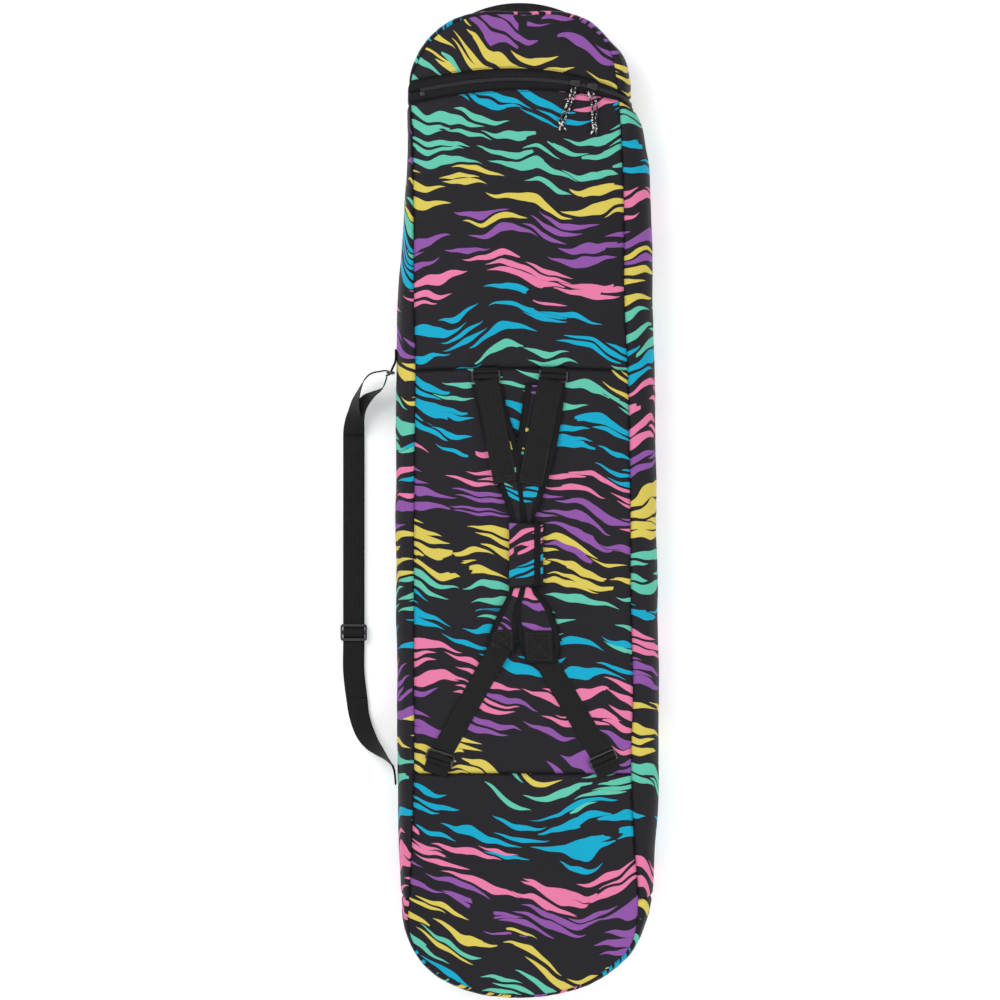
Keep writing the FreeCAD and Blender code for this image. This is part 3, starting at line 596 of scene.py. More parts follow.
def gusset_points(samples, turns):
    """Points of the gusset at loop samples.

    Turns run from the front seam (0) over the outline (0.5) to the back (1)."""
    seam, outline, back = SEAM[samples], OUTLINE[samples], BACK[samples]
    seam_z = front_height(seam)
    grid = np.zeros((len(turns), len(samples), 3))
    for row, turn in enumerate(turns):
        angle = math.pi * turn
        if turn <= 0.5:
            plan = seam + (outline - seam) * math.sin(angle) ** 0.9
            z = BELLY_Z + (seam_z - BELLY_Z) * math.cos(angle) ** 0.8
        else:
            plan = back + (outline - back) * math.sin(angle) ** 0.8
            z = BELLY_Z + (BACK_Z - BELLY_Z) * abs(math.cos(angle)) ** 0.8
        grid[row, :, :2] = plan
        grid[row, :, 2] = z
    run = LOOP_RUN[samples]
    belly = np.sin(np.pi * np.asarray(turns))[:, None]
    push = 0.0016 * hills(run[None, :] + 0 * belly, np.asarray(turns)[:, None] * 0.16, 2.0) * belly
    normal = -inward[samples][None]
    grid[..., :2] += normal * (push - 0.0012 * belly)[..., None]
    return grid


GUSSET_TURNS = np.concatenate([[0, 0.012, 0.028, 0.05, 0.08], np.linspace(0.115, 0.885, 19),
                               [0.92, 0.95, 0.972, 0.988, 1]])


def gusset_run(samples):
    """Distance round the outline at each sample, unbroken where the loop wraps."""
    steps = np.linalg.norm(np.diff(OUTLINE[samples], axis=0), axis=1)
    return np.concatenate([[0], np.cumsum(steps)])


def gusset_piece(name, first, last, materials, body, slot, nodes, climb=1, turns=GUSSET_TURNS):
    """A strip of the gusset; climb says whether y rises (1) or falls (-1) along the loop."""
    samples = loop_between(first, last)
    points = gusset_points(samples, turns)
    runs = gusset_run(samples)
    ends = np.minimum(runs, runs[-1] - runs)[None, :]
    across = run_along(points[:, len(samples) // 2])
    side = np.minimum(across, across[-1] - across)[:, None]
    groove = 0.0036 * np.exp(-((side / 0.0028) ** 2)) + 0.0036 * np.exp(-((ends / 0.003) ** 2))
    pucker = 0.0008 * np.exp(-side / 0.016) * np.sin(runs * 215 + 3 * np.sin(runs * 17))[None, :]
    pucker *= 1 - np.exp(-side / 0.004)
    lower = 0.5 - 0.5 * np.cos(np.pi * np.clip(np.asarray(turns) * 2, 0, 1))[:, None]
    points[..., :2] += inward[samples][None] * ((groove - pucker) * np.maximum(lower, 0.3))[..., None]
    points[..., 2] -= (groove - pucker) * (1 - lower)
    v_start = SEAM[samples[0], 1]
    uvs = np.zeros(points.shape[:2] + (2,))
    uvs[..., 0] = across[:, None] * climb
    uvs[..., 1] = v_start + climb * runs[None, :]
    piece = grid_piece(name, points, uvs, materials)
    flip_normals(piece)
    thicken(piece, 0.0012, len(materials) - 1)
    if body:
        set_on(piece, body, slot, *nodes)
    return piece


def flip_normals(piece):
    piece.data.flip_normals()


def cloth(dye):
    """Print outside, lining inside."""
    return [PRINT[dye], LINING]


gusset_piece("gusset_foot_cloth", FOOT_LEFT, FOOT_RIGHT, cloth("lower"),
             "bag", "print_fabric", ["gusset_foot"])
gusset_piece("gusset_right_cloth", FOOT_RIGHT, TAPE_LOW, cloth("right"),
             "bag", "print_fabric", ["gusset_right"])
gusset_piece("hood_gusset_cloth", TAPE_HIGH, FOLD_HIGH, cloth("hood"),
             "hood", "print_fabric", ["hood_gusset"])
gusset_piece("gusset_left_cloth", FOLD_LOW, FOOT_LEFT, cloth("left"),
             "bag", "print_fabric", ["gusset_left"], -1)
fold = gusset_piece("hood_fold_cloth", FOLD_HIGH, FOLD_LOW, cloth("left"), None, None, [], -1)

cad_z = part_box("back_panel")[0].z


def back_height(points):
    """The back lies nearly flat on the floor."""
    x, y = points[..., 0], points[..., 1]
    return cad_z + 0.0016 + 0.0009 * hills(x, y, 4.0)


def back_panel(name, body, bottom, top, left, right, node):
    plan, shares_u, shares_v = coons(bottom, top, left, right, 0.012)
    points = np.dstack([plan, back_height(plan)])
    edge = np.minimum(np.minimum(shares_u, 1 - shares_u)[None, :] * 0.3,
                      np.minimum(shares_v, 1 - shares_v)[:, None] * 1.2)
    points[..., 2] += (BACK_Z - cad_z - 0.0012) * np.exp(-edge / 0.012)
    piece = grid_piece(name, points, plan, [PLAIN, LINING])
    flip_normals(piece)
    thicken(piece, 0.0012, 1)
    return set_on(piece, body, "plain_fabric", node)


back_right = BACK[loop_between(FOOT_RIGHT, TAPE_LOW)]
back_left = BACK[loop_between(FOLD_LOW, FOOT_LEFT)][::-1]
back_foot = BACK[loop_between(foot_corner_left, foot_corner_right)]
back_foot_left = BACK[loop_between(FOOT_LEFT, foot_corner_left)][::-1]
back_foot_right = BACK[loop_between(foot_corner_right, FOOT_RIGHT)]
back_zip_low = arc_row(ZIP_BOW - TAPE, back_left[-1], back_right[-1])
back_middle_left = BACK[(loop_starts[FOLD_LOW] + loop_starts[FOLD_HIGH]) // 2]
back_zip_middle = arc_row(ZIP_BOW, back_middle_left, BACK[loop_starts[TAPE_MID]])
back_zip_high = arc_row(ZIP_BOW + TAPE, BACK[loop_starts[FOLD_HIGH]], BACK[loop_starts[TAPE_HIGH]])
back_panel("back_panel_cloth", "bag", back_foot, back_zip_low, np.vstack([back_foot_left, back_left[1:]]),
           np.vstack([back_foot_right, back_right[1:]]), "back_panel")
back_panel("hood_back_panel_cloth", "hood", back_zip_high,
           BACK[loop_between(hood_right_corner, hood_left_corner)][::-1],
           BACK[loop_between(hood_left_corner, FOLD_HIGH)][::-1],
           BACK[loop_between(TAPE_HIGH, hood_right_corner)], "hood_back_panel")


# ---------------------------------------------------------------- the zip

def row_between(low, high, share):
    low, high = along(low, np.linspace(0, 1, 200)), along(high, np.linspace(0, 1, 200))
    return low + (high - low) * share


def tape_front(low, high, height, up, sewn_low):
    """Points of a zip tape from low edge to high edge; its sewn edge runs on under the panel."""
    shares = [0, 0.06, 0.14, 0.3, 0.5, 0.7, 0.86, 0.94, 1]
    shares = [-0.45, -0.2] + shares if sewn_low else shares + [1.2, 1.45]
    rows = []
    for share in shares:
        plan = row_between(low, high, share)
        under = max(0, -share, share - 1)
        dip = (0.0030 * math.exp(-((max(0, share) / 0.09) ** 2))
               + 0.0026 * math.exp(-((max(0, 1 - share) / 0.09) ** 2)) + 0.0035 * under)
        rows.append(np.column_stack([plan, height(plan) - up * (dip + 0.0006)]))
    return np.array(rows)


def zip_tape(side_name, body, low, high, back_low, back_high, first, last, node):
    sewn_low = side_name == "body"
    front = tape_front(low, high, front_height, 1, sewn_low)
    uv_v = np.linspace(0, 0.33, front.shape[1])
    uvs = np.zeros(front.shape[:2] + (2,))
    uvs[..., 1] = uv_v[None, :]
    uvs[..., 0] = np.linspace(0, TAPE, front.shape[0])[:, None]
    piece = grid_piece(f"zipper_tape_{side_name}_front", front, uvs, [TAPE_CLOTH, LINING])
    thicken(piece, 0.001, 1)
    set_on(piece, body, "zipper_tape", node)
    back = tape_front(back_low, back_high, back_height, -1, sewn_low)
    piece = grid_piece(f"zipper_tape_{side_name}_back", back, uvs, [TAPE_CLOTH, LINING])
    flip_normals(piece)
    thicken(piece, 0.001, 1)
    set_on(piece, body, "zipper_tape")
    return gusset_piece(f"zipper_tape_{side_name}_side", first, last, [TAPE_CLOTH, LINING], body,
                        "zipper_tape", [])


zip_tape("body", "bag", zip_low, zip_middle, back_zip_low, back_zip_middle, TAPE_LOW, TAPE_MID,
         "zipper_tape_body")
zip_tape("hood", "hood", zip_middle, zip_high, back_zip_middle, back_zip_high, TAPE_MID, TAPE_HIGH,
         "zipper_tape_hood")

# ---------------------------------------------------------------- small builders for trim

def outward(piece):
    """Point every face of a closed mesh outwards."""
    edit = bmesh.new()
    edit.from_mesh(piece.data)
    bmesh.ops.recalc_face_normals(edit, faces=edit.faces)
    edit.to_mesh(piece.data)
    edit.free()
    smooth(piece.data)
    return piece


RIBBON_SECTION = [(-1, 0.30), (-0.975, 0.75), (-0.92, 1.0), (-0.6, 0.90), (0, 0.86), (0.6, 0.90), (0.92, 1.0),
                  (0.975, 0.75), (1, 0.30)]


def ribbon(name, controls, thickness, material, step=0.004, hems=(0, 0), stretch=(0, None)):
    """Webbing through controls, each a place, a direction across and a width, with folded hems at its ends.

    A stretch keeps only the webbing between two of the controls."""
    rows, starts = spline([[*place, *(Vector(across).normalized()), width]
                      for place, across, width in controls], step, measured=3)
    middle, across, width = rows[:, :3], rows[:, 3:6], rows[:, 6]
    forward = np.gradient(middle, axis=0)
    kept = slice(starts[stretch[0]], None if stretch[1] is None else starts[stretch[1]] + 1)
    middle, across, width, forward = middle[kept], across[kept], width[kept], forward[kept]
    across /= np.linalg.norm(across, axis=1)[:, None]
    normal = np.cross(across, forward)
    normal /= np.linalg.norm(normal, axis=1)[:, None]
    run = run_along(middle)
    thick = thickness * (1 + 0.9 * (run < hems[0]) + 0.9 * (run > run[-1] - hems[1]))
    section = [(share, level / 2) for share, level in RIBBON_SECTION]
    section += [(share, -level / 2) for share, level in reversed(RIBBON_SECTION)]
    points = np.array([[middle[i] + across[i] * share * width[i] / 2 + normal[i] * level * thick[i]
                        for share, level in section] for i in range(len(middle))])
    uvs = np.array([[(share * width[i] / 2, run[i]) for share, _ in section] for i in range(len(middle))])
    faces = grid_faces(len(middle), len(section), closed=True)
    faces.append(tuple(range(len(section))))
    faces.append(tuple((len(middle) - 1) * len(section) + i for i in range(len(section))))
    return outward(mesh_piece(name, points.reshape(-1, 3), faces, [material], uvs.reshape(-1, 2)))


def tube(name, path, radius, material, sides=10, closed=False):
    """A round bar or thread along points."""
    path = np.asarray(path, float)
    if closed:
        forward = np.roll(path, -1, axis=0) - np.roll(path, 1, axis=0)
    else:
        forward = np.gradient(path, axis=0)
    forward /= np.linalg.norm(forward, axis=1)[:, None]
    side = np.cross(forward[0], (0, 0, 1) if abs(forward[0][2]) < 0.9 else (1, 0, 0))
    points = []
    for place, ahead in zip(path, forward):
        side = side - ahead * np.dot(side, ahead)
        side /= np.linalg.norm(side)
        up = np.cross(ahead, side)
        points += [place + radius * (side * math.cos(turn) + up * math.sin(turn))
                   for turn in 2 * math.pi * np.arange(sides) / sides]
    faces = grid_faces(len(path), sides, closed=True)
    last = (len(path) - 1) * sides
    if closed:
        faces += [(last + i, last + (i + 1) % sides, (i + 1) % sides, i) for i in range(sides)]
    else:
        faces += [tuple(range(sides)), tuple(last + i for i in range(sides))]
    uvs = [(0, 0)] * len(points)
    return outward(mesh_piece(name, points, faces, [material], uvs))


def stitches(name, rows, body, pitch=0.0042, length=0.0028, radius=0.00042):
    """Rows of thread stitches lying along lines of points."""
    points, faces = [], []
    ring = [(math.cos(turn), math.sin(turn)) for turn in 2 * math.pi * np.arange(6) / 6]
    for row in rows:
        row = np.asarray(row, float)
        run = np.linalg.norm(np.diff(row, axis=0), axis=1).sum()
        count = max(1, int(run / pitch))
        starts = along(row, (np.arange(count) + 0.15) / count)
        ends = along(row, (np.arange(count) + 0.15 + length / pitch) / count)
        for start, end in zip(starts, ends):
            ahead = (end - start) / np.linalg.norm(end - start)
            side = np.cross(ahead, (0, 0, 1) if abs(ahead[2]) < 0.9 else (1, 0, 0))
            side /= np.linalg.norm(side)
            up = np.cross(side, ahead)
            first = len(points)
            for share, size in ((0, 0.2), (0.2, 1), (0.8, 1), (1, 0.2)):
                points += [start + (end - start) * share + radius * size * (side * c + up * w) for c, w in ring]
            faces += [tuple(first + i for i in face) for face in grid_faces(4, 6, closed=True)]
            faces += [tuple(range(first, first + 6)), tuple(range(first + 18, first + 24))]
    piece = outward(mesh_piece(name, points, faces, [THREAD], [(0, 0)] * len(points)))
    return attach(piece, body) if body else piece


def rounded(width, length, corners, segments=6):
    """Corner-rounded rectangle about the origin; corners are radii from the +x +y one, counter-clockwise."""
    points = []
    signs = ((1, 1), (-1, 1), (-1, -1), (1, -1))
    for (sign_x, sign_y), radius, start in zip(signs, corners, (0, 90, 180, 270)):
        centre = (sign_x * (length / 2 - radius), sign_y * (width / 2 - radius))
        for step in range(segments + 1):
            turn = math.radians(start + 90 * step / segments)
            points.append((centre[0] + radius * math.cos(turn), centre[1] + radius * math.sin(turn)))
    return points


def moulded(name, outlines, thickness, bevel, material):
    """A flat moulding with rounded edges: the first outline is its edge and the others are its holes."""
    curve = bpy.data.curves.new(name + "_outline", "CURVE")
    curve.dimensions = "2D"
    curve.fill_mode = "BOTH"
    curve.extrude = thickness / 2 - bevel
    curve.bevel_depth = bevel
    curve.bevel_resolution = 3
    curve.offset = -bevel
    for outline in outlines:
        loop = curve.splines.new("POLY")
        loop.points.add(len(outline) - 1)
        for point, (x, y) in zip(loop.points, outline):
            point.co = (x, y, 0, 1)
        loop.use_cyclic_u = True
    holder = bpy.data.objects.new(name + "_outline", curve)
    mesh = bpy.data.meshes.new_from_object(holder)
    bpy.data.objects.remove(holder)
    mesh.name = name
    mesh.materials.clear()
    mesh.materials.append(material)
    edit = bmesh.new()
    edit.from_mesh(mesh)
    bmesh.ops.remove_doubles(edit, verts=edit.verts, dist=1e-6)
    bmesh.ops.recalc_face_normals(edit, faces=edit.faces)
    edit.to_mesh(mesh)
    edit.free()
    mesh.polygons.foreach_set("use_smooth", [True] * len(mesh.polygons))
    piece = link(mesh, name)
    sharp = piece.modifiers.new("sharp", "EDGE_SPLIT")
    sharp.split_angle = math.radians(35)
    return piece


def place_at(piece, x, y, z, turn, tilt=None):
    piece.data.transform(Matrix.Translation((x, y, z)) @ (tilt or Matrix.Identity(4))
                         @ Matrix.Rotation(math.radians(turn), 4, "Z"))
    return piece


def front_tilt(x, y, reach=0.012):
    """The turn that lays a flat thing on the front at a place."""
    slope_x = (on_front(x + reach, y).z - on_front(x - reach, y).z) / (2 * reach)
    slope_y = (on_front(x, y + reach).z - on_front(x, y - reach).z) / (2 * reach)
    normal = Vector((-slope_x, -slope_y, 1)).normalized()
    return Vector((0, 0, 1)).rotation_difference(normal).to_matrix().to_4x4()


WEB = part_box("upper_webbing_left")[1].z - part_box("upper_webbing_left")[0].z
WEB_WIDTH = 0.038
PAD_BASE = 0.0022        # padded straps lie this far above the front panels
PAD_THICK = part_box("padded_strap_left")[1].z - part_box("padded_strap_left")[0].z

# ---------------------------------------------------------------- zip coil, stop and stitching


def zip_path():
    """The line between the two tapes: along the front, down the right side and back under."""
    front = np.column_stack([zip_middle, front_height(zip_middle)])
    front = front[front[:, 0] > ZIP_LEFT]
    side = gusset_points(np.array([loop_starts[TAPE_MID]]), GUSSET_TURNS)[:, 0]
    back = np.column_stack([back_zip_middle, back_height(back_zip_middle)])[::-1]
    back = back[back[:, 0] > ZIP_LEFT]
    return np.vstack([front, side[1:-1], back])


def coil_row(name, body, shift, node):
    """Coil turns beside the zip's middle line, each a small rounded bar across it."""
    path = zip_path()
    total = np.linalg.norm(np.diff(path, axis=0), axis=1).sum()
    pitch = 0.0024
    count = int(total / pitch)
    shares = (np.arange(count) + (0.25 if shift > 0 else 0.75)) / count
    places, ahead = along(path, shares), along(path, np.minimum(1, shares + 0.002))
    points, faces = [], []
    ring = [(math.cos(turn), math.sin(turn)) for turn in 2 * math.pi * np.arange(6) / 6]
    for place, after in zip(places, ahead):
        if np.linalg.norm(after - place) < 1e-6:
            continue
        forward = (after - place) / np.linalg.norm(after - place)
        across = np.array([0, 1.0, 0]) - forward * forward[1]
        across /= np.linalg.norm(across)
        out = np.cross(forward, across)
        middle = place + across * shift + out * 0.0004
        first = len(points)
        for share, size in ((-1, 0.45), (-0.75, 1), (0.75, 1), (1, 0.45)):
            points += [middle + across * share * 0.0017 + 0.00085 * size * (forward * c + out * w) for c, w in ring]
        faces += [tuple(first + i for i in face) for face in grid_faces(4, 6, closed=True)]
        faces += [tuple(range(first, first + 6)), tuple(range(first + 18, first + 24))]
    piece = outward(mesh_piece(name, points, faces, [COIL], [(0, 0)] * len(points)))
    return set_on(piece, body, "zipper_coil", node)


coil_row("zipper_coil_body_turns", "bag", -0.0013, "zipper_coil_body")
coil_row("zipper_coil_hood_turns", "hood", 0.0013, "zipper_coil_hood")


def lying(plan, lift):
    """A line of plan points laid on the front panels."""
    plan = np.asarray(plan, float)
    return np.column_stack([plan, front_height(plan) + lift])


stitches("zip_topstitch_hood", [lying(row_between(zip_high, zip_high + [0, 0.004], 1.0)[6:-6], -0.0002)], "hood")
stitches("zip_topstitch_body", [lying(row_between(zip_low, zip_low - [0, 0.004], 1.0)[6:-6], -0.0002)], "bag")

stop_low, stop_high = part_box("zipper_stop")
stop = moulded("zipper_stop_clip", [rounded(0.006, 0.007, [0.0012] * 4)], 0.0022, 0.0006, METAL)
stop_x, stop_y = (stop_low.x + stop_high.x) / 2, (stop_low.y + stop_high.y) / 2
place_at(stop, stop_x, stop_y, on_front(stop_x, stop_y).z + 0.0008, 17)
set_on(stop, "bag", "slider_metal", "zipper_stop")

# ---------------------------------------------------------------- sliders and their cords

SLIDER_X = {"left": 0.071, "right": 0.097}
# The cords' routes, as offsets in millimetres from the slider, as they lie in the frame.
PULL_ROUTES = {
    "left": [(-4, -7, 4.4), (-8, -18, 2.6), (-13, -34, 2.6), (-20, -50, 2.6), (-24, -60, 2.6),
             (-19, -61, 2.6), (-14, -51, 2.6), (-7, -35, 2.6), (-2, -19, 2.6), (1, -7, 4.4)],
    "right": [(-7, -7, 4.4), (-3, -19, 2.6), (1, -34, 2.6), (-1, -50, 2.6), (1, -62, 2.6),
              (6, -62, 2.6), (5, -50, 2.6), (8, -33, 2.6), (4, -18, 2.6), (0, -7, 4.4)],
}
CORD_WIDTH = 0.003


def on_zip(x):
    return ZIP_CENTRE[1] + math.sqrt(ZIP_BOW**2 - (x - ZIP_CENTRE[0]) ** 2)


def zip_slider(side):
    """Slider shell with a shield-shaped plan and the bail that holds its cord."""
    x = SLIDER_X[side]
    y = on_zip(x)
    turn = -math.degrees(math.asin((x - ZIP_CENTRE[0]) / ZIP_BOW))
    nose, tail = 0.0054, 0.0040
    plan = [(0.0075, nose * 0.6), (0.0052, nose), (0.0, nose * 0.86), (-0.0045, tail), (-0.0072, tail * 0.8),
            (-0.0072, -tail * 0.8), (-0.0045, -tail), (0.0, -nose * 0.86), (0.0052, -nose), (0.0075, -nose * 0.6)]
    shell = moulded("zip_slider_" + side, [plan], 0.0030, 0.0009, METAL)
    place_at(shell, x, y, FRONT_Z + 0.0012, turn)
    set_on(shell, "slider_" + side, "slider_metal", "slider_" + side)
    arch = [(0.0052 * math.cos(t) - 0.0004, 0, 0.0008 + 0.0038 * math.sin(t))
            for t in np.linspace(0, math.pi, 13)]
    bail = tube("slider_bail_" + side, arch, 0.00075, METAL, 8)
    place_at(bail, x, y, FRONT_Z + 0.0022, turn)
    set_on(bail, "slider_" + side, "slider_metal")


def pull_cord(side):
    x = SLIDER_X[side]
    y = on_zip(x)
    curve = bpy.data.curves.new("cord_" + side, "CURVE")
    curve.dimensions = "3D"
    curve.bevel_depth = CORD_WIDTH / 2
    curve.bevel_resolution = 3
    curve.resolution_u = 10
    curve.use_fill_caps = True
    line = curve.splines.new("NURBS")
    line.points.add(len(PULL_ROUTES[side]) - 1)
    for point, (dx, dy, dz) in zip(line.points, PULL_ROUTES[side]):
        point.co = (x + dx * MM, y + dy * MM, FRONT_Z + (dz - 1.1) * MM, 1)
    line.order_u = 3
    line.use_endpoint_u = True
    curve.materials.append(CORD)
    cord = link(curve, "cord_" + side)
    low = (Vector(line.points[4].co[:3]) + Vector(line.points[5].co[:3])) / 2
    knot_path = []
    for t in np.linspace(0, 2 * math.pi, 72, endpoint=False):
        reach = 0.0021 + 0.0013 * math.cos(3 * t)
        knot_path.append(low + Vector((reach * math.cos(2 * t), 1.25 * reach * math.sin(2 * t),
                                       0.0022 + 0.0014 * math.sin(3 * t))))
    knot = tube("cord_knot_" + side, knot_path, CORD_WIDTH / 2 * 0.95, CORD, 10, closed=True)
    tails = []
    for name, lean in (("a", -1), ("b", 1)):
        path = [low + Vector((lean * 0.001 * k + (0.0006 * k if side == "left" else -0.0003 * k),
                              -0.0022 * k, 0.0012 - 0.0002 * k)) for k in range(6)]
        tails.append(tube(f"cord_tail_{side}_{name}", path, CORD_WIDTH / 2 * 0.9, CORD, 10))
    body = "pull_" + side
    set_on(cord, body, "pull_cord", "pull_cord_" + side)
    set_on(knot, body, "pull_cord", "pull_knot_" + side)
    for tail in tails:
        set_on(tail, body, "pull_cord")


for side in ("left", "right"):
    zip_slider(side)
    pull_cord(side)

# ---------------------------------------------------------------- haul handle

haul_low, haul_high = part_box("haul_handle")
haul_middle = (haul_low.x + haul_high.x) / 2
haul_controls = []
for share in np.linspace(-1, 1, 13):
    lean = Vector((0, -0.55, 1))
    haul_controls.append(((haul_middle + share * 0.100, haul_high.y - 0.0098 - 0.0275 * share**2 - 0.004 * share**4,
                           0.060), lean, 0.038))
haul = ribbon("haul_handle_webbing", haul_controls, 0.0034, SHADED_HAUL_WEBBING)
set_on(haul, "hood", "webbing", "haul_handle")

# ---------------------------------------------------------------- tri-glides with their tabs and loops

SLOT = 0.0042
GLIDE_WIDTH, GLIDE_LENGTH, GLIDE_THICK = 0.044, 0.018, 0.0030


def local_ribbon(name, line, width, x, y, turn, tilt, material=WEBBING, hems=(0, 0), step=0.0012):
    """A ribbon across the local x axis; line holds local (x, z) pairs in millimetres."""
    controls = [((along_x * MM, 0, z * MM), (0, 1, 0), width) for along_x, z in line]
    piece = ribbon(name, controls, WEB, material, step, hems)
    return place_at(piece, x, y, on_front(x, y).z, turn, tilt)


def glide_set(level, side, x, y, turn, sewn_at):
    """Moulded tri-glide, the tab that anchors it and the webbing's bight over its middle bar."""
    tilt = front_tilt(x, y)
    name = f"{level}_{{}}_{side}"
    bar = (GLIDE_LENGTH - 2 * SLOT) / 3
    slots = []
    for centre in (-(bar + SLOT) / 2, (bar + SLOT) / 2):
        slots.append([(px + centre, py) for px, py in rounded(0.0385, SLOT, [0.0012] * 4, 3)])
    outline = rounded(GLIDE_WIDTH, GLIDE_LENGTH, [0.002, 0.006, 0.006, 0.002])
    glide = moulded(name.format("glide_frame"), [outline, *slots],
                    GLIDE_THICK, 0.0010, GLIDE)
    place_at(glide, x, y, on_front(x, y).z + 0.0036, turn, tilt)
    set_on(glide, "bag", "glide_plastic", f"{level}_triglide_{side}")
    tab = local_ribbon(name.format("anchor_webbing"),
                       [(sewn_at, -0.6), (sewn_at - 2.5, 1.0), (13, 1.4), (10.6, 3.4), (8.8, 5.6), (6.6, 5.4),
                        (5.0, 3.4), (4.4, 1.2)], 0.0375, x, y, turn, tilt)
    set_on(tab, "bag", "webbing", f"{level}_anchor_tab_{side}")
    bight = local_ribbon(name.format("glide_bight"),
                         [(-4.6, 1.1), (-4.2, 3.2), (-2.6, 5.6), (0, 6.2), (2.6, 5.6), (4.0, 3.2), (4.2, 1.1)],
                         0.0372, x, y, turn, tilt)
    set_on(bight, "bag", "webbing", f"{level}_glide_loop_{side}")


GLIDES = {
    ("upper", "left"): (-64, 187, 92, 11.5), ("upper", "right"): (38, 187, 86, 11.5),
    ("lower", "left"): (-133, -389, -108, 27.5), ("lower", "right"): (113, -392, -66, 25),
}
for (level, side), (x, y, turn, sewn_at) in GLIDES.items():
    glide_set(level, side, x * MM, y * MM, turn, sewn_at)

# ---------------------------------------------------------------- padded straps

# Rows down each padded strap: y, then its left and right edge, in millimetres.
PAD_ROWS = {
    "left": [(175, -86, -38), (140, -77, -33), (97, -67, -19), (60, -57, -10), (20, -45, -4), (-10, -33, -3.5),
             (-30, -27, -3.5), (-75, -26, -3.5), (-122, -26, -3.5), (-142, -31, -8), (-170, -45, -13),
             (-200, -58, -15), (-230, -64, -19)],
    "right": [(177, -4, 56), (135, -10, 52), (97, -16, 46), (50, -23, 36), (18, -21, 26), (-8, -15, 18),
              (-32, -5, 7), (-75, -6, 7), (-128, -8, 7), (-142, -15, 17), (-156, -20, 29),
              (-183, -20.5, 42), (-205, -17, 47), (-222, -12.6, 48.5), (-247, -2, 43.5)],
}
BINDING_WIDTH = 0.0095
BINDING_MOST = 0.28      # of the pad's width, where the pads are gathered under the wrap
# How far along the dyes each end of the pads starts; the change is under the wrap.
PAD_DYE_HIGH, PAD_DYE_LOW, WRAP_MIDDLE = -0.15, -0.07, -0.078


def pad_frame(side, step=0.005):
    """Left and right edge lines of a padded strap, in metres, from its top down."""
    rows, _ = spline([[left * MM, y * MM, right * MM, y * MM] for y, left, right in PAD_ROWS[side]], step)
    return rows[:, :2], rows[:, 2:]


def pad_swell(side):
    """Thickness share down a pad: sewn thin at both ends, squeezed a little inside the wrap."""
    left, _ = pad_frame(side)
    run = run_along(left)
    ends = np.minimum(run, run[-1] - run)
    wrapped = np.exp(-(((left[:, 1] + 0.076) / 0.050) ** 4))
    return (0.45 + 0.55 * (1 - np.exp(-ends / 0.010))) * (1 - 0.22 * wrapped)


def pad_crown(share):
    """How full a pad is at a share across it: 0 at its edges, 1 in the middle."""
    return max(0, 1 - abs(2 * share - 1) ** 3.2) ** 0.5


def padded_strap(side):
    """A crowned pad: print in the middle, a binding strip folded over both edges."""
    left, right = pad_frame(side)
    swell = pad_swell(side)
    width = np.linalg.norm(right - left, axis=1)
    points, uvs, face_slots = [], [], []
    for i in range(len(left)):
        edge = min(BINDING_WIDTH / width[i], BINDING_MOST)
        marks = [0, 0.02, edge * 0.45, edge * 0.9, edge, edge + 0.015, 0.30, 0.42, 0.5, 0.58, 0.70,
                 1 - edge - 0.015, 1 - edge, 1 - edge * 0.9, 1 - edge * 0.45, 0.98, 1]
        base = left[i] + (right[i] - left[i]) * 0.5
        ground = on_front(base[0], base[1]).z + PAD_BASE
        ring = []
        for k, share in enumerate(marks):
            plan = left[i] + (right[i] - left[i]) * share
            crown = pad_crown(share)
            lip = 0.0009 if k in (2, 3, 13, 14) else (0.0005 if k in (4, 12) else 0)
            dent = -0.0006 if k in (5, 11) else 0
            ring.append((plan[0], plan[1],
                         ground + PAD_THICK * swell[i] * (0.42 + 0.58 * crown) + lip + dent))
        for share in (1, 0.97, 0.8, 0.5, 0.2, 0.03, 0):
            plan = left[i] + (right[i] - left[i]) * share
            flat = 0 if 0.1 < share < 0.9 else 0.0016 if share in (0.97, 0.03) else PAD_THICK * 0.22
            ring.append((plan[0], plan[1], ground + flat))
        points += ring
        uvs += [(point[0], point[1] + (PAD_DYE_LOW if point[1] < WRAP_MIDDLE else PAD_DYE_HIGH))
                for point in ring]
    count = len(marks) + 7
    faces = grid_faces(len(left), count, closed=True)
    for row in range(len(left) - 1):
        for column in range(count):
            printed = 4 < column < 11 or len(marks) + 1 < column < count - 3
            bound = row < 1 or row > len(left) - 5
            face_slots.append(0 if printed and not bound else 1)
    faces += [tuple(range(count)), tuple((len(left) - 1) * count + i for i in range(count))]
    face_slots += [1, 1]
    piece = mesh_piece(f"padded_strap_{side}_cover", points, faces, [PRINT["strap"], BINDING], uvs,
                       face_slots)
    outward(piece)
    return piece


def pad_edges(side, y):
    """x of a pad's left and right edges at a height y."""
    left, right = pad_frame(side)
    order = np.argsort(left[:, 1])
    return np.interp(y, left[order, 1], left[order, 0]), np.interp(y, right[order, 1], right[order, 0])


def pad_point(side, y, share, lift):
    """A point on top of a pad at a height y and a share across it."""
    x_left, x_right = pad_edges(side, y)
    left, _ = pad_frame(side)
    order = np.argsort(left[:, 1])
    swell = np.interp(y, left[order, 1], pad_swell(side)[order])
    x = x_left + (x_right - x_left) * share
    middle = on_front((x_left + x_right) / 2, y).z + PAD_BASE
    crown = pad_crown(share)
    return Vector((x, y, middle + PAD_THICK * swell * (0.42 + 0.58 * crown) + lift))


for side in ("left", "right"):
    pad = padded_strap(side)
    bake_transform(pad)
    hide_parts("padded_strap_" + side)

# ---------------------------------------------------------------- harness webbing and patches

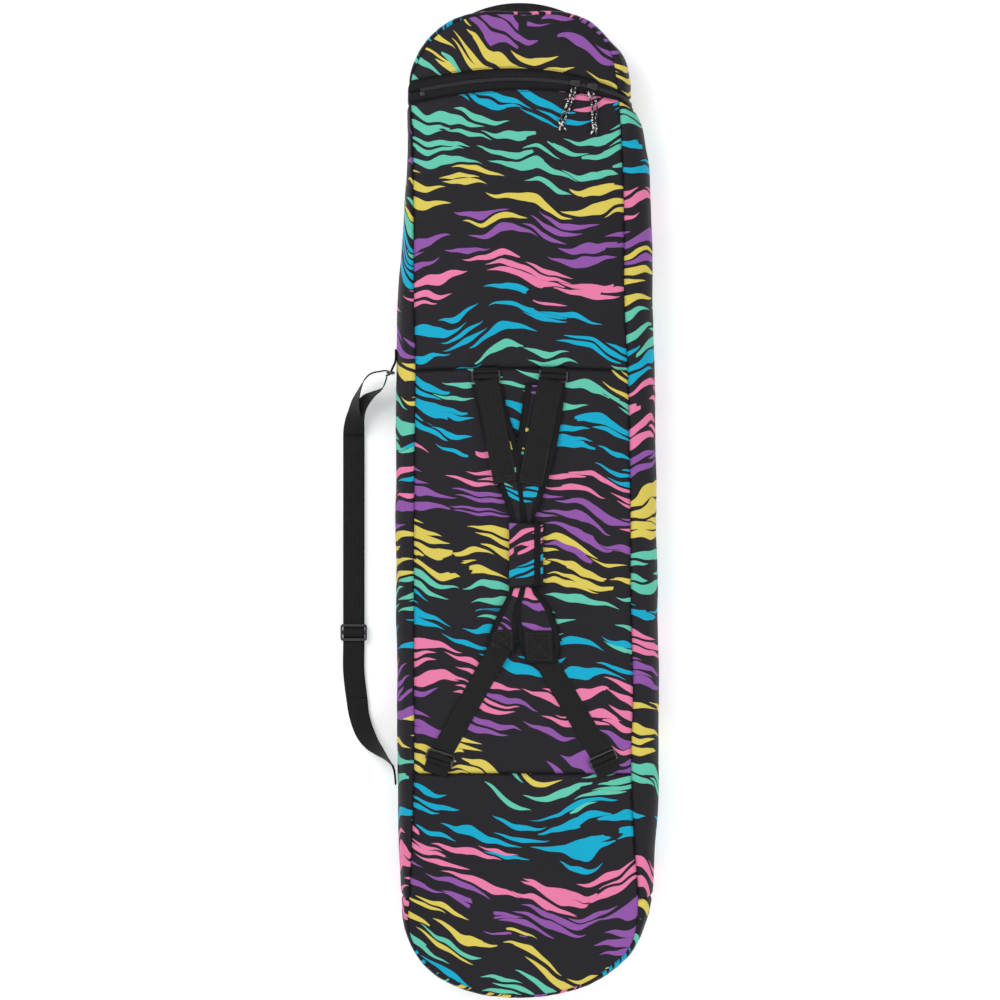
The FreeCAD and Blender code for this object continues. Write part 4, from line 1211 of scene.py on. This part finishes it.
UPPER_WIDTH = {"left": 0.035, "right": WEB_WIDTH}
LOWER_WIDTH = 0.033
UPPER_RUN = {"left": ((-62, 178), (-35, 26)), "right": ((34, 178), (3, 22))}
for side, (top, bottom) in UPPER_RUN.items():
    start, end = np.array(top) * MM, np.array(bottom) * MM
    direction = (end - start) / np.linalg.norm(end - start)
    across = Vector((-direction[1], direction[0], 0)) * -1
    controls = [((start[0] - direction[0] * 0.004, start[1] - direction[1] * 0.004, on_front(*start).z + 0.0050),
                 across, 0.0375)]
    for share in np.linspace(0.03, 1, 12):
        place = start + (end - start) * share
        x_left, x_right = pad_edges(side, place[1])
        spot = pad_point(side, place[1], (place[0] - x_left) / (x_right - x_left), 0.0012)
        low = on_front(*place).z + 0.0046
        controls.append(((place[0], place[1], max(low, spot.z)), across, UPPER_WIDTH[side]))
    piece = ribbon(f"upper_webbing_{side}_run", controls, WEB, WEBBING, 0.003, (0, 0.011))
    rows = []
    for back in (0.003, 0.0085):
        base = end - direction * back
        rows.append([tuple(Vector((base[0], base[1], controls[-1][0][2] + 0.0016)) + across * reach)
                     for reach in (-0.017, 0.017)])
    for edge in (-0.0175, 0.0175):
        rows.append([tuple(Vector((*(start + (end - start) * share), 0)) + across * edge * 0.96
                           + Vector((0, 0, np.interp(share, np.linspace(0.03, 1, 12), [c[0][2] for c in controls[1:]])
                                     + 0.0009))) for share in (0.62, 0.8, 0.999)])
    thread = stitches(f"upper_webbing_{side}_stitches", rows, None)
    for made in (piece, thread):
        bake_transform(made)
    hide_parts("upper_webbing_" + side)

LOWER_RUN = {"left": ((-40, -219), (-130.6, -381.5)), "right": ((22, -236), (110, -385))}
for side, (top, bottom) in LOWER_RUN.items():
    start, end = np.array(top) * MM, np.array(bottom) * MM
    direction = (end - start) / np.linalg.norm(end - start)
    across = Vector((-direction[1], direction[0], 0)) * -1
    high = pad_point(side, start[1], 0.5, 0.0014 if side == "left" else -0.004)
    controls = [((*start, high.z), across, LOWER_WIDTH)]
    for share in (0.08, 0.14, 0.22, 0.3, 0.45, 0.6, 0.75, 0.9, 0.97, 1.0):
        place = start + (end - start) * share
        low = on_front(*place).z + 0.0016
        drop = max(0, 1 - share / 0.24)
        controls.append(((*place, low + (high.z - low) * drop ** 0.7), across, LOWER_WIDTH))
    piece = ribbon(f"lower_webbing_{side}_run", controls, WEB, WEBBING, 0.003,
                   (0.012 if side == "left" else 0, 0))
    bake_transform(piece)
    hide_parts("lower_webbing_" + side)

# Patches on the pads' lower ends, sewn with a box and a cross.
PATCH_CORNERS = {"left": [(-53, -196), (-22, -196), (-22, -230), (-59, -222)],
                 "right": [(-8, -197), (37, -197), (39, -246), (-4, -246)]}


def patch(side):
    corners = np.array(PATCH_CORNERS[side]) * MM
    shares = np.linspace(0, 1, 13)

    def on_pad(u, v, lift):
        top = corners[0] + (corners[1] - corners[0]) * u
        low = corners[3] + (corners[2] - corners[3]) * u
        place = top + (low - top) * v
        x_left, x_right = pad_edges(side, place[1])
        share = min(0.97, max(0.03, (place[0] - x_left) / (x_right - x_left)))
        spot = pad_point(side, place[1], share, lift)
        return (place[0], place[1], spot.z)

    grid = np.array([[on_pad(u, v, 0.0019) for u in shares] for v in shares])
    uvs = np.dstack([grid[..., 0], grid[..., 1]])
    piece = grid_piece(f"strap_patch_{side}_cloth", grid, uvs, [WEBBING, LINING])
    flip_normals(piece)
    thicken(piece, 0.0012, 0)
    set_on(piece, "harness", "webbing", "strap_patch_" + side)
    a, b = 0.10, 0.90
    lines = [[(a, a), (b, a)], [(b, a), (b, b)], [(b, b), (a, b)], [(a, b), (a, a)],
             [(a, a), (b, b)], [(b, a), (a, b)]]
    rows = [[on_pad(u0 + (u1 - u0) * t, v0 + (v1 - v0) * t, 0.0023) for t in np.linspace(0, 1, 9)]
            for (u0, v0), (u1, v1) in lines]
    stitches(f"strap_patch_{side}_stitches", rows, "harness")


for side in ("left", "right"):
    patch(side)

# ---------------------------------------------------------------- the grip wrap

WRAP_TOP, WRAP_BOTTOM = -0.034, -0.131
WRAP_DYE = 0.024


def wrap_section(kind):
    """Cross-section of the wrap in x and height over the front: the flap over the pads, or the base."""
    crown = PAD_BASE + PAD_THICK * 0.80
    if kind == "flap":
        return [(-0.0284, 0.0046), (-0.0290, 0.0066), (-0.0280, 0.0086), (-0.0245, crown + 0.0022), (-0.017, crown + 0.0031),
                (-0.006, crown + 0.0034), (0.005, crown + 0.0032), (0.0085, crown + 0.0030), (0.0088, crown + 0.0037),
                (0.0140, crown + 0.0030), (0.0182, crown + 0.0016), (0.0197, crown - 0.0008)]
    return [(-0.0272, 0.0074), (-0.0276, 0.0040), (-0.0255, 0.0016), (-0.012, 0.0008), (0.004, 0.0008),
            (0.0170, 0.0012), (0.0218, 0.0030), (0.0226, 0.0054), (0.0216, 0.0076), (0.0185, 0.0088)]


def wrap_piece(kind, body, node):
    section = wrap_section(kind)
    line, starts = spline(section, 0.0012)
    rows = 30
    points, uvs, slots = [], [], []
    for row in range(rows):
        share = row / (rows - 1)
        y = WRAP_TOP + (WRAP_BOTTOM - WRAP_TOP) * share
        flare = 0.0012 * (abs(2 * share - 1) ** 4)
        ground = on_front(-0.003, y).z
        for x, z in line:
            slant = 0.010 * x / 0.05 if kind == "flap" else 0
            crease = 0.0005 * math.sin(260 * y + 90 * x) + 0.0004 * math.sin(520 * y - 140 * x)
            points.append((x * (1 + flare * 8), y - slant * (1 - 2 * share) * 0.5,
                           ground + z + crease + flare))
            uvs.append((x, WRAP_DYE - y))
    count = len(line)
    faces = grid_faces(rows, count)
    binding_from = starts[8] if kind == "flap" else count
    for row in range(rows - 1):
        for column in range(count - 1):
            edge_rows = row < 1 or row > rows - 3
            slots.append(1 if column >= binding_from or edge_rows else 0)
    piece = mesh_piece(f"handle_wrap_{kind}_cloth", points, faces, [PRINT["strap"], BINDING], uvs, slots)
    if kind == "flap":
        flip_normals(piece)
    thicken(piece, 0.0014, 0)
    return set_on(piece, body, "print_fabric", node)


wrap_piece("base", "harness", "handle_wrap_base")
wrap_piece("flap", "wrap_flap", "handle_wrap_flap")

# ---------------------------------------------------------------- the shoulder strap

STRAP_X = (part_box("shoulder_triglide")[0].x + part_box("shoulder_triglide")[1].x) / 2
STRAP_Z = 0.0050
STRAP_WIDTH = 0.033
FLAT = (1, 0, 0)
ring_low, ring_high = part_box("shoulder_ring")
RING_Y = (ring_low.y + ring_high.y) / 2
RING_SHIFT = 0.009       # the ring hangs this far down from its middle place
RING_WIRE_X, RING_WIRE_Y = ring_low.x + 0.002, RING_Y - RING_SHIFT
TURN_Y = 0.100           # the strap's flat run ends here
UPPER_TURN = [((STRAP_X, TURN_Y, STRAP_Z), FLAT, STRAP_WIDTH),
              ((STRAP_X + 0.0005, 0.122, 0.0125), (0.86, 0, 0.50), STRAP_WIDTH),
              ((STRAP_X + 0.001, 0.139, 0.0190), (0.55, 0, 0.83), STRAP_WIDTH),
              ((STRAP_X + 0.0035, 0.154, 0.0235), (0.38, 0, 0.92), 0.032),
              ((STRAP_X + 0.0105, 0.171, 0.0310), (0.16, 0, 0.98), 0.031),
              ((STRAP_X + 0.018, 0.185, 0.0400), (0.03, 0, 1), 0.030),
              ((STRAP_X + 0.028, 0.1935, 0.0490), (0, 0, 1), 0.030),
              ((STRAP_X + 0.042, 0.1965, 0.0560), (0, 0, 1), 0.030),
              ((RING_WIRE_X - 0.0020, RING_WIRE_Y + 0.0034, 0.060), (0, 0, 1), 0.030),
              ((RING_WIRE_X + 0.0030, RING_WIRE_Y + 0.0016, 0.060), (0, 0, 1), 0.030),
              ((RING_WIRE_X + 0.0030, RING_WIRE_Y - 0.0018, 0.060), (0, 0, 1), 0.030),
              ((RING_WIRE_X - 0.0030, RING_WIRE_Y - 0.0042, 0.060), (0, 0, 1), 0.030)]
# The second layer leaves the first and twists to the ring on its own, which opens a loop.
RETURN_TURN = [((STRAP_X, TURN_Y, STRAP_Z + WEB + 0.0005), FLAT, STRAP_WIDTH * 0.97),
               ((STRAP_X + 0.004, 0.124, 0.0145), (0.80, -0.10, 0.59), 0.032),
               ((STRAP_X + 0.0105, 0.1405, 0.0215), (0.50, -0.45, 0.74), 0.032),
               ((STRAP_X + 0.019, 0.153, 0.0305), (0.30, -0.50, 0.81), 0.031),
               ((STRAP_X + 0.032, 0.1625, 0.0420), (0.10, -0.30, 0.95), 0.030),
               ((STRAP_X + 0.0455, 0.171, 0.0530), (0, -0.1, 1), 0.030),
               ((RING_WIRE_X - 0.0012, RING_WIRE_Y - 0.0055, 0.060), (0, 0, 1), 0.030)]
long_run = [((STRAP_X, y, STRAP_Z), FLAT, STRAP_WIDTH)
            for y in (-0.265, -0.22, -0.16, -0.10, -0.04, 0.02, 0.07)]
lower_turn = [((-0.2055, -0.4075, 0.060), (0.05, 0.1, 1), 0.024),
              ((-0.2150, -0.3970, 0.052), (0.18, 0.15, 0.97), 0.026),
              ((-0.2265, -0.3870, 0.038), (0.42, 0.36, 0.83), 0.028),
              ((-0.2395, -0.3750, 0.023), (0.68, 0.48, 0.55), 0.029),
              ((-0.2510, -0.3575, 0.011), (0.88, 0.42, 0.18), 0.030),
              ((-0.2590, -0.3350, 0.0062), (0.98, 0.16, 0.03), 0.031),
              ((-0.2635, -0.3050, STRAP_Z), FLAT, STRAP_WIDTH)]
LAYER = WEB + 0.0005
STRAP_ROUTE = lower_turn + long_run + UPPER_TURN
RUN_FIRST, RUN_LAST = len(lower_turn) - 1, len(lower_turn) + len(long_run)


def turned_end(name, controls, stretch):
    """The part of the strap between its fixed end and its run, which twists along its length."""
    piece = ribbon(name, controls, WEB, WEBBING, 0.004, stretch=stretch)
    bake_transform(piece)
    return piece


run = ribbon("shoulder_webbing_run", STRAP_ROUTE, WEB, WEBBING, 0.004, stretch=(RUN_FIRST, RUN_LAST))
set_on(run, "shoulder_strap", "webbing", "shoulder_webbing")
turned_end("shoulder_webbing_foot_end", STRAP_ROUTE, (0, RUN_FIRST))
turned_end("shoulder_webbing_ring_end", STRAP_ROUTE, (RUN_LAST, None))
turned_end("shoulder_return_ring_end", RETURN_TURN, (0, None))
RETURN_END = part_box("shoulder_webbing_return")[0].y
straight = ribbon("shoulder_return_straight",
                  [((STRAP_X, y, STRAP_Z + LAYER), FLAT, STRAP_WIDTH * 0.97)
                   for y in np.linspace(RETURN_END, TURN_Y, 9)], WEB, WEBBING, 0.006)
set_on(straight, "shoulder_strap", "webbing", "shoulder_webbing_return")
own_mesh(straight)

adjust_low, adjust_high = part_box("shoulder_triglide")
ADJUST_Y = (adjust_low.y + adjust_high.y) / 2
slots = [[(px + centre, py) for px, py in rounded(0.0345, 0.0062, [0.0016] * 4, 3)]
         for centre in (-0.0058, 0.0058)]
adjuster = moulded("shoulder_glide_frame", [rounded(0.041, 0.026, [0.004] * 4), *slots], 0.0032,
                   0.0011, GLIDE)
place_at(adjuster, STRAP_X, ADJUST_Y, STRAP_Z + LAYER + 0.0022, 90)
set_on(adjuster, "strap_adjuster", "glide_plastic", "shoulder_triglide")
bridge = [((STRAP_X, ADJUST_Y + y * MM, STRAP_Z + z * MM), FLAT, 0.0325)
          for y, z in ((-9.4, 1.2), (-7.6, 3.2), (-4.6, 6.0), (0, 6.9), (4.6, 6.0), (7.6, 3.2), (9.4, 1.6))]
set_on(ribbon("shoulder_glide_bight", bridge, WEB, WEBBING, 0.0015), "strap_adjuster", "webbing")

ring_x, ring_z = (ring_low.x + ring_high.x) / 2, (ring_low.z + ring_high.z) / 2
ring_path = [(ring_x + px, RING_Y - RING_SHIFT, ring_z + py)
             for px, py in rounded(ring_high.z - ring_low.z - 0.004, ring_high.x - ring_low.x - 0.004, [0.004] * 4)]
ring = tube("shoulder_ring_wire", ring_path, 0.0019, GLIDE, 12, closed=True)
set_on(ring, "bag", "glide_plastic", "shoulder_ring")


def side_tab(name, node, near_x, at_ring):
    """A webbing tab folded through the ring or strap end and sewn flat on the gusset."""
    low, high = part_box(node)
    y_near, y_far = (low.y - RING_SHIFT, high.y) if at_ring else (high.y, low.y)
    step = 1 if y_far > y_near else -1
    wall = -0.2035
    controls = [((near_x - 0.0015, y_near - step * 0.003, 0.060), (0, 0, 1), 0.034),
                ((near_x + 0.001, y_near + step * 0.004, 0.060), (0, 0, 1), 0.036),
                ((wall + 0.0005, y_near + step * 0.014, 0.059), (0, 0, 1), 0.038),
                ((wall + 0.0015, y_far, 0.058), (0, 0, 1), 0.038)]
    tab = ribbon(name, controls, WEB * 1.4, WEBBING, 0.003)
    set_on(tab, "bag", "webbing", node)


side_tab("ring_tab_webbing", "ring_tab", ring_x + 0.001, True)
side_tab("lower_strap_tab_webbing", "lower_strap_tab", -0.2055, False)

# ---------------------------------------------------------------- camera, lights and floor

VIEW_CENTRE_X = -0.0427
VIEW_WIDTH = 1.525
VIEW_HEIGHT = 6.0
MID_Z = 0.07

camera_data = bpy.data.cameras.new("camera")
camera_data.sensor_width = 36
camera_data.lens = camera_data.sensor_width * VIEW_HEIGHT / VIEW_WIDTH
camera_data.clip_end = 50
camera = link(camera_data, "camera")
camera.location = (VIEW_CENTRE_X, 0, MID_Z + VIEW_HEIGHT)
bpy.context.scene.camera = camera
bpy.context.scene.view_settings.view_transform = "Standard"


def area_light(name, place, target, size, power):
    data = bpy.data.lights.new(name, "AREA")
    data.shape = "RECTANGLE"
    data.size, data.size_y = size
    data.energy = power
    lamp = link(data, name)
    lamp.location = place
    lamp.rotation_euler = (Vector(target) - Vector(place)).to_track_quat("-Z", "Y").to_euler()


area_light("key_light", (-1.6, 1.4, 2.6), (0, 0, 0), (1.6, 2.2), 52)
area_light("fill_light", (1.9, -0.6, 2.4), (0, 0, 0), (1.8, 2.4), 24)
area_light("foot_light", (0.2, -2.4, 1.6), (0, -0.3, 0), (2.0, 1.0), 15)

world = bpy.data.worlds.new("studio")
world.use_nodes = True
world.node_tree.nodes["Background"].inputs["Color"].default_value = (0.96, 0.97, 1.0, 1)
world.node_tree.nodes["Background"].inputs["Strength"].default_value = 0.62
bpy.context.scene.world = world

floor_tree = Tree("floor", 0.9, 0.1)
floor_place = floor_tree.node("TexCoord").outputs["Object"]
floor_tree.colour(floor_tree.mix(floor_tree.add(0.5, floor_tree.noise(floor_place, 3, 2.0)),
                                 (0.90, 0.90, 0.90, 1), (0.94, 0.94, 0.94, 1)))
floor_tree.shader.inputs["Emission Color"].default_value = (1, 1, 1, 1)
floor_tree.shader.inputs["Emission Strength"].default_value = 0.28
FLOOR_HALF, FLOOR_Z = 8, -0.0015
floor = mesh_piece("floor", [(x * FLOOR_HALF, y * FLOOR_HALF, FLOOR_Z) for x, y in ((-1, -1), (1, -1), (1, 1), (-1, 1))],
                   [(0, 1, 2, 3)], [floor_tree.material])

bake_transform(fold)
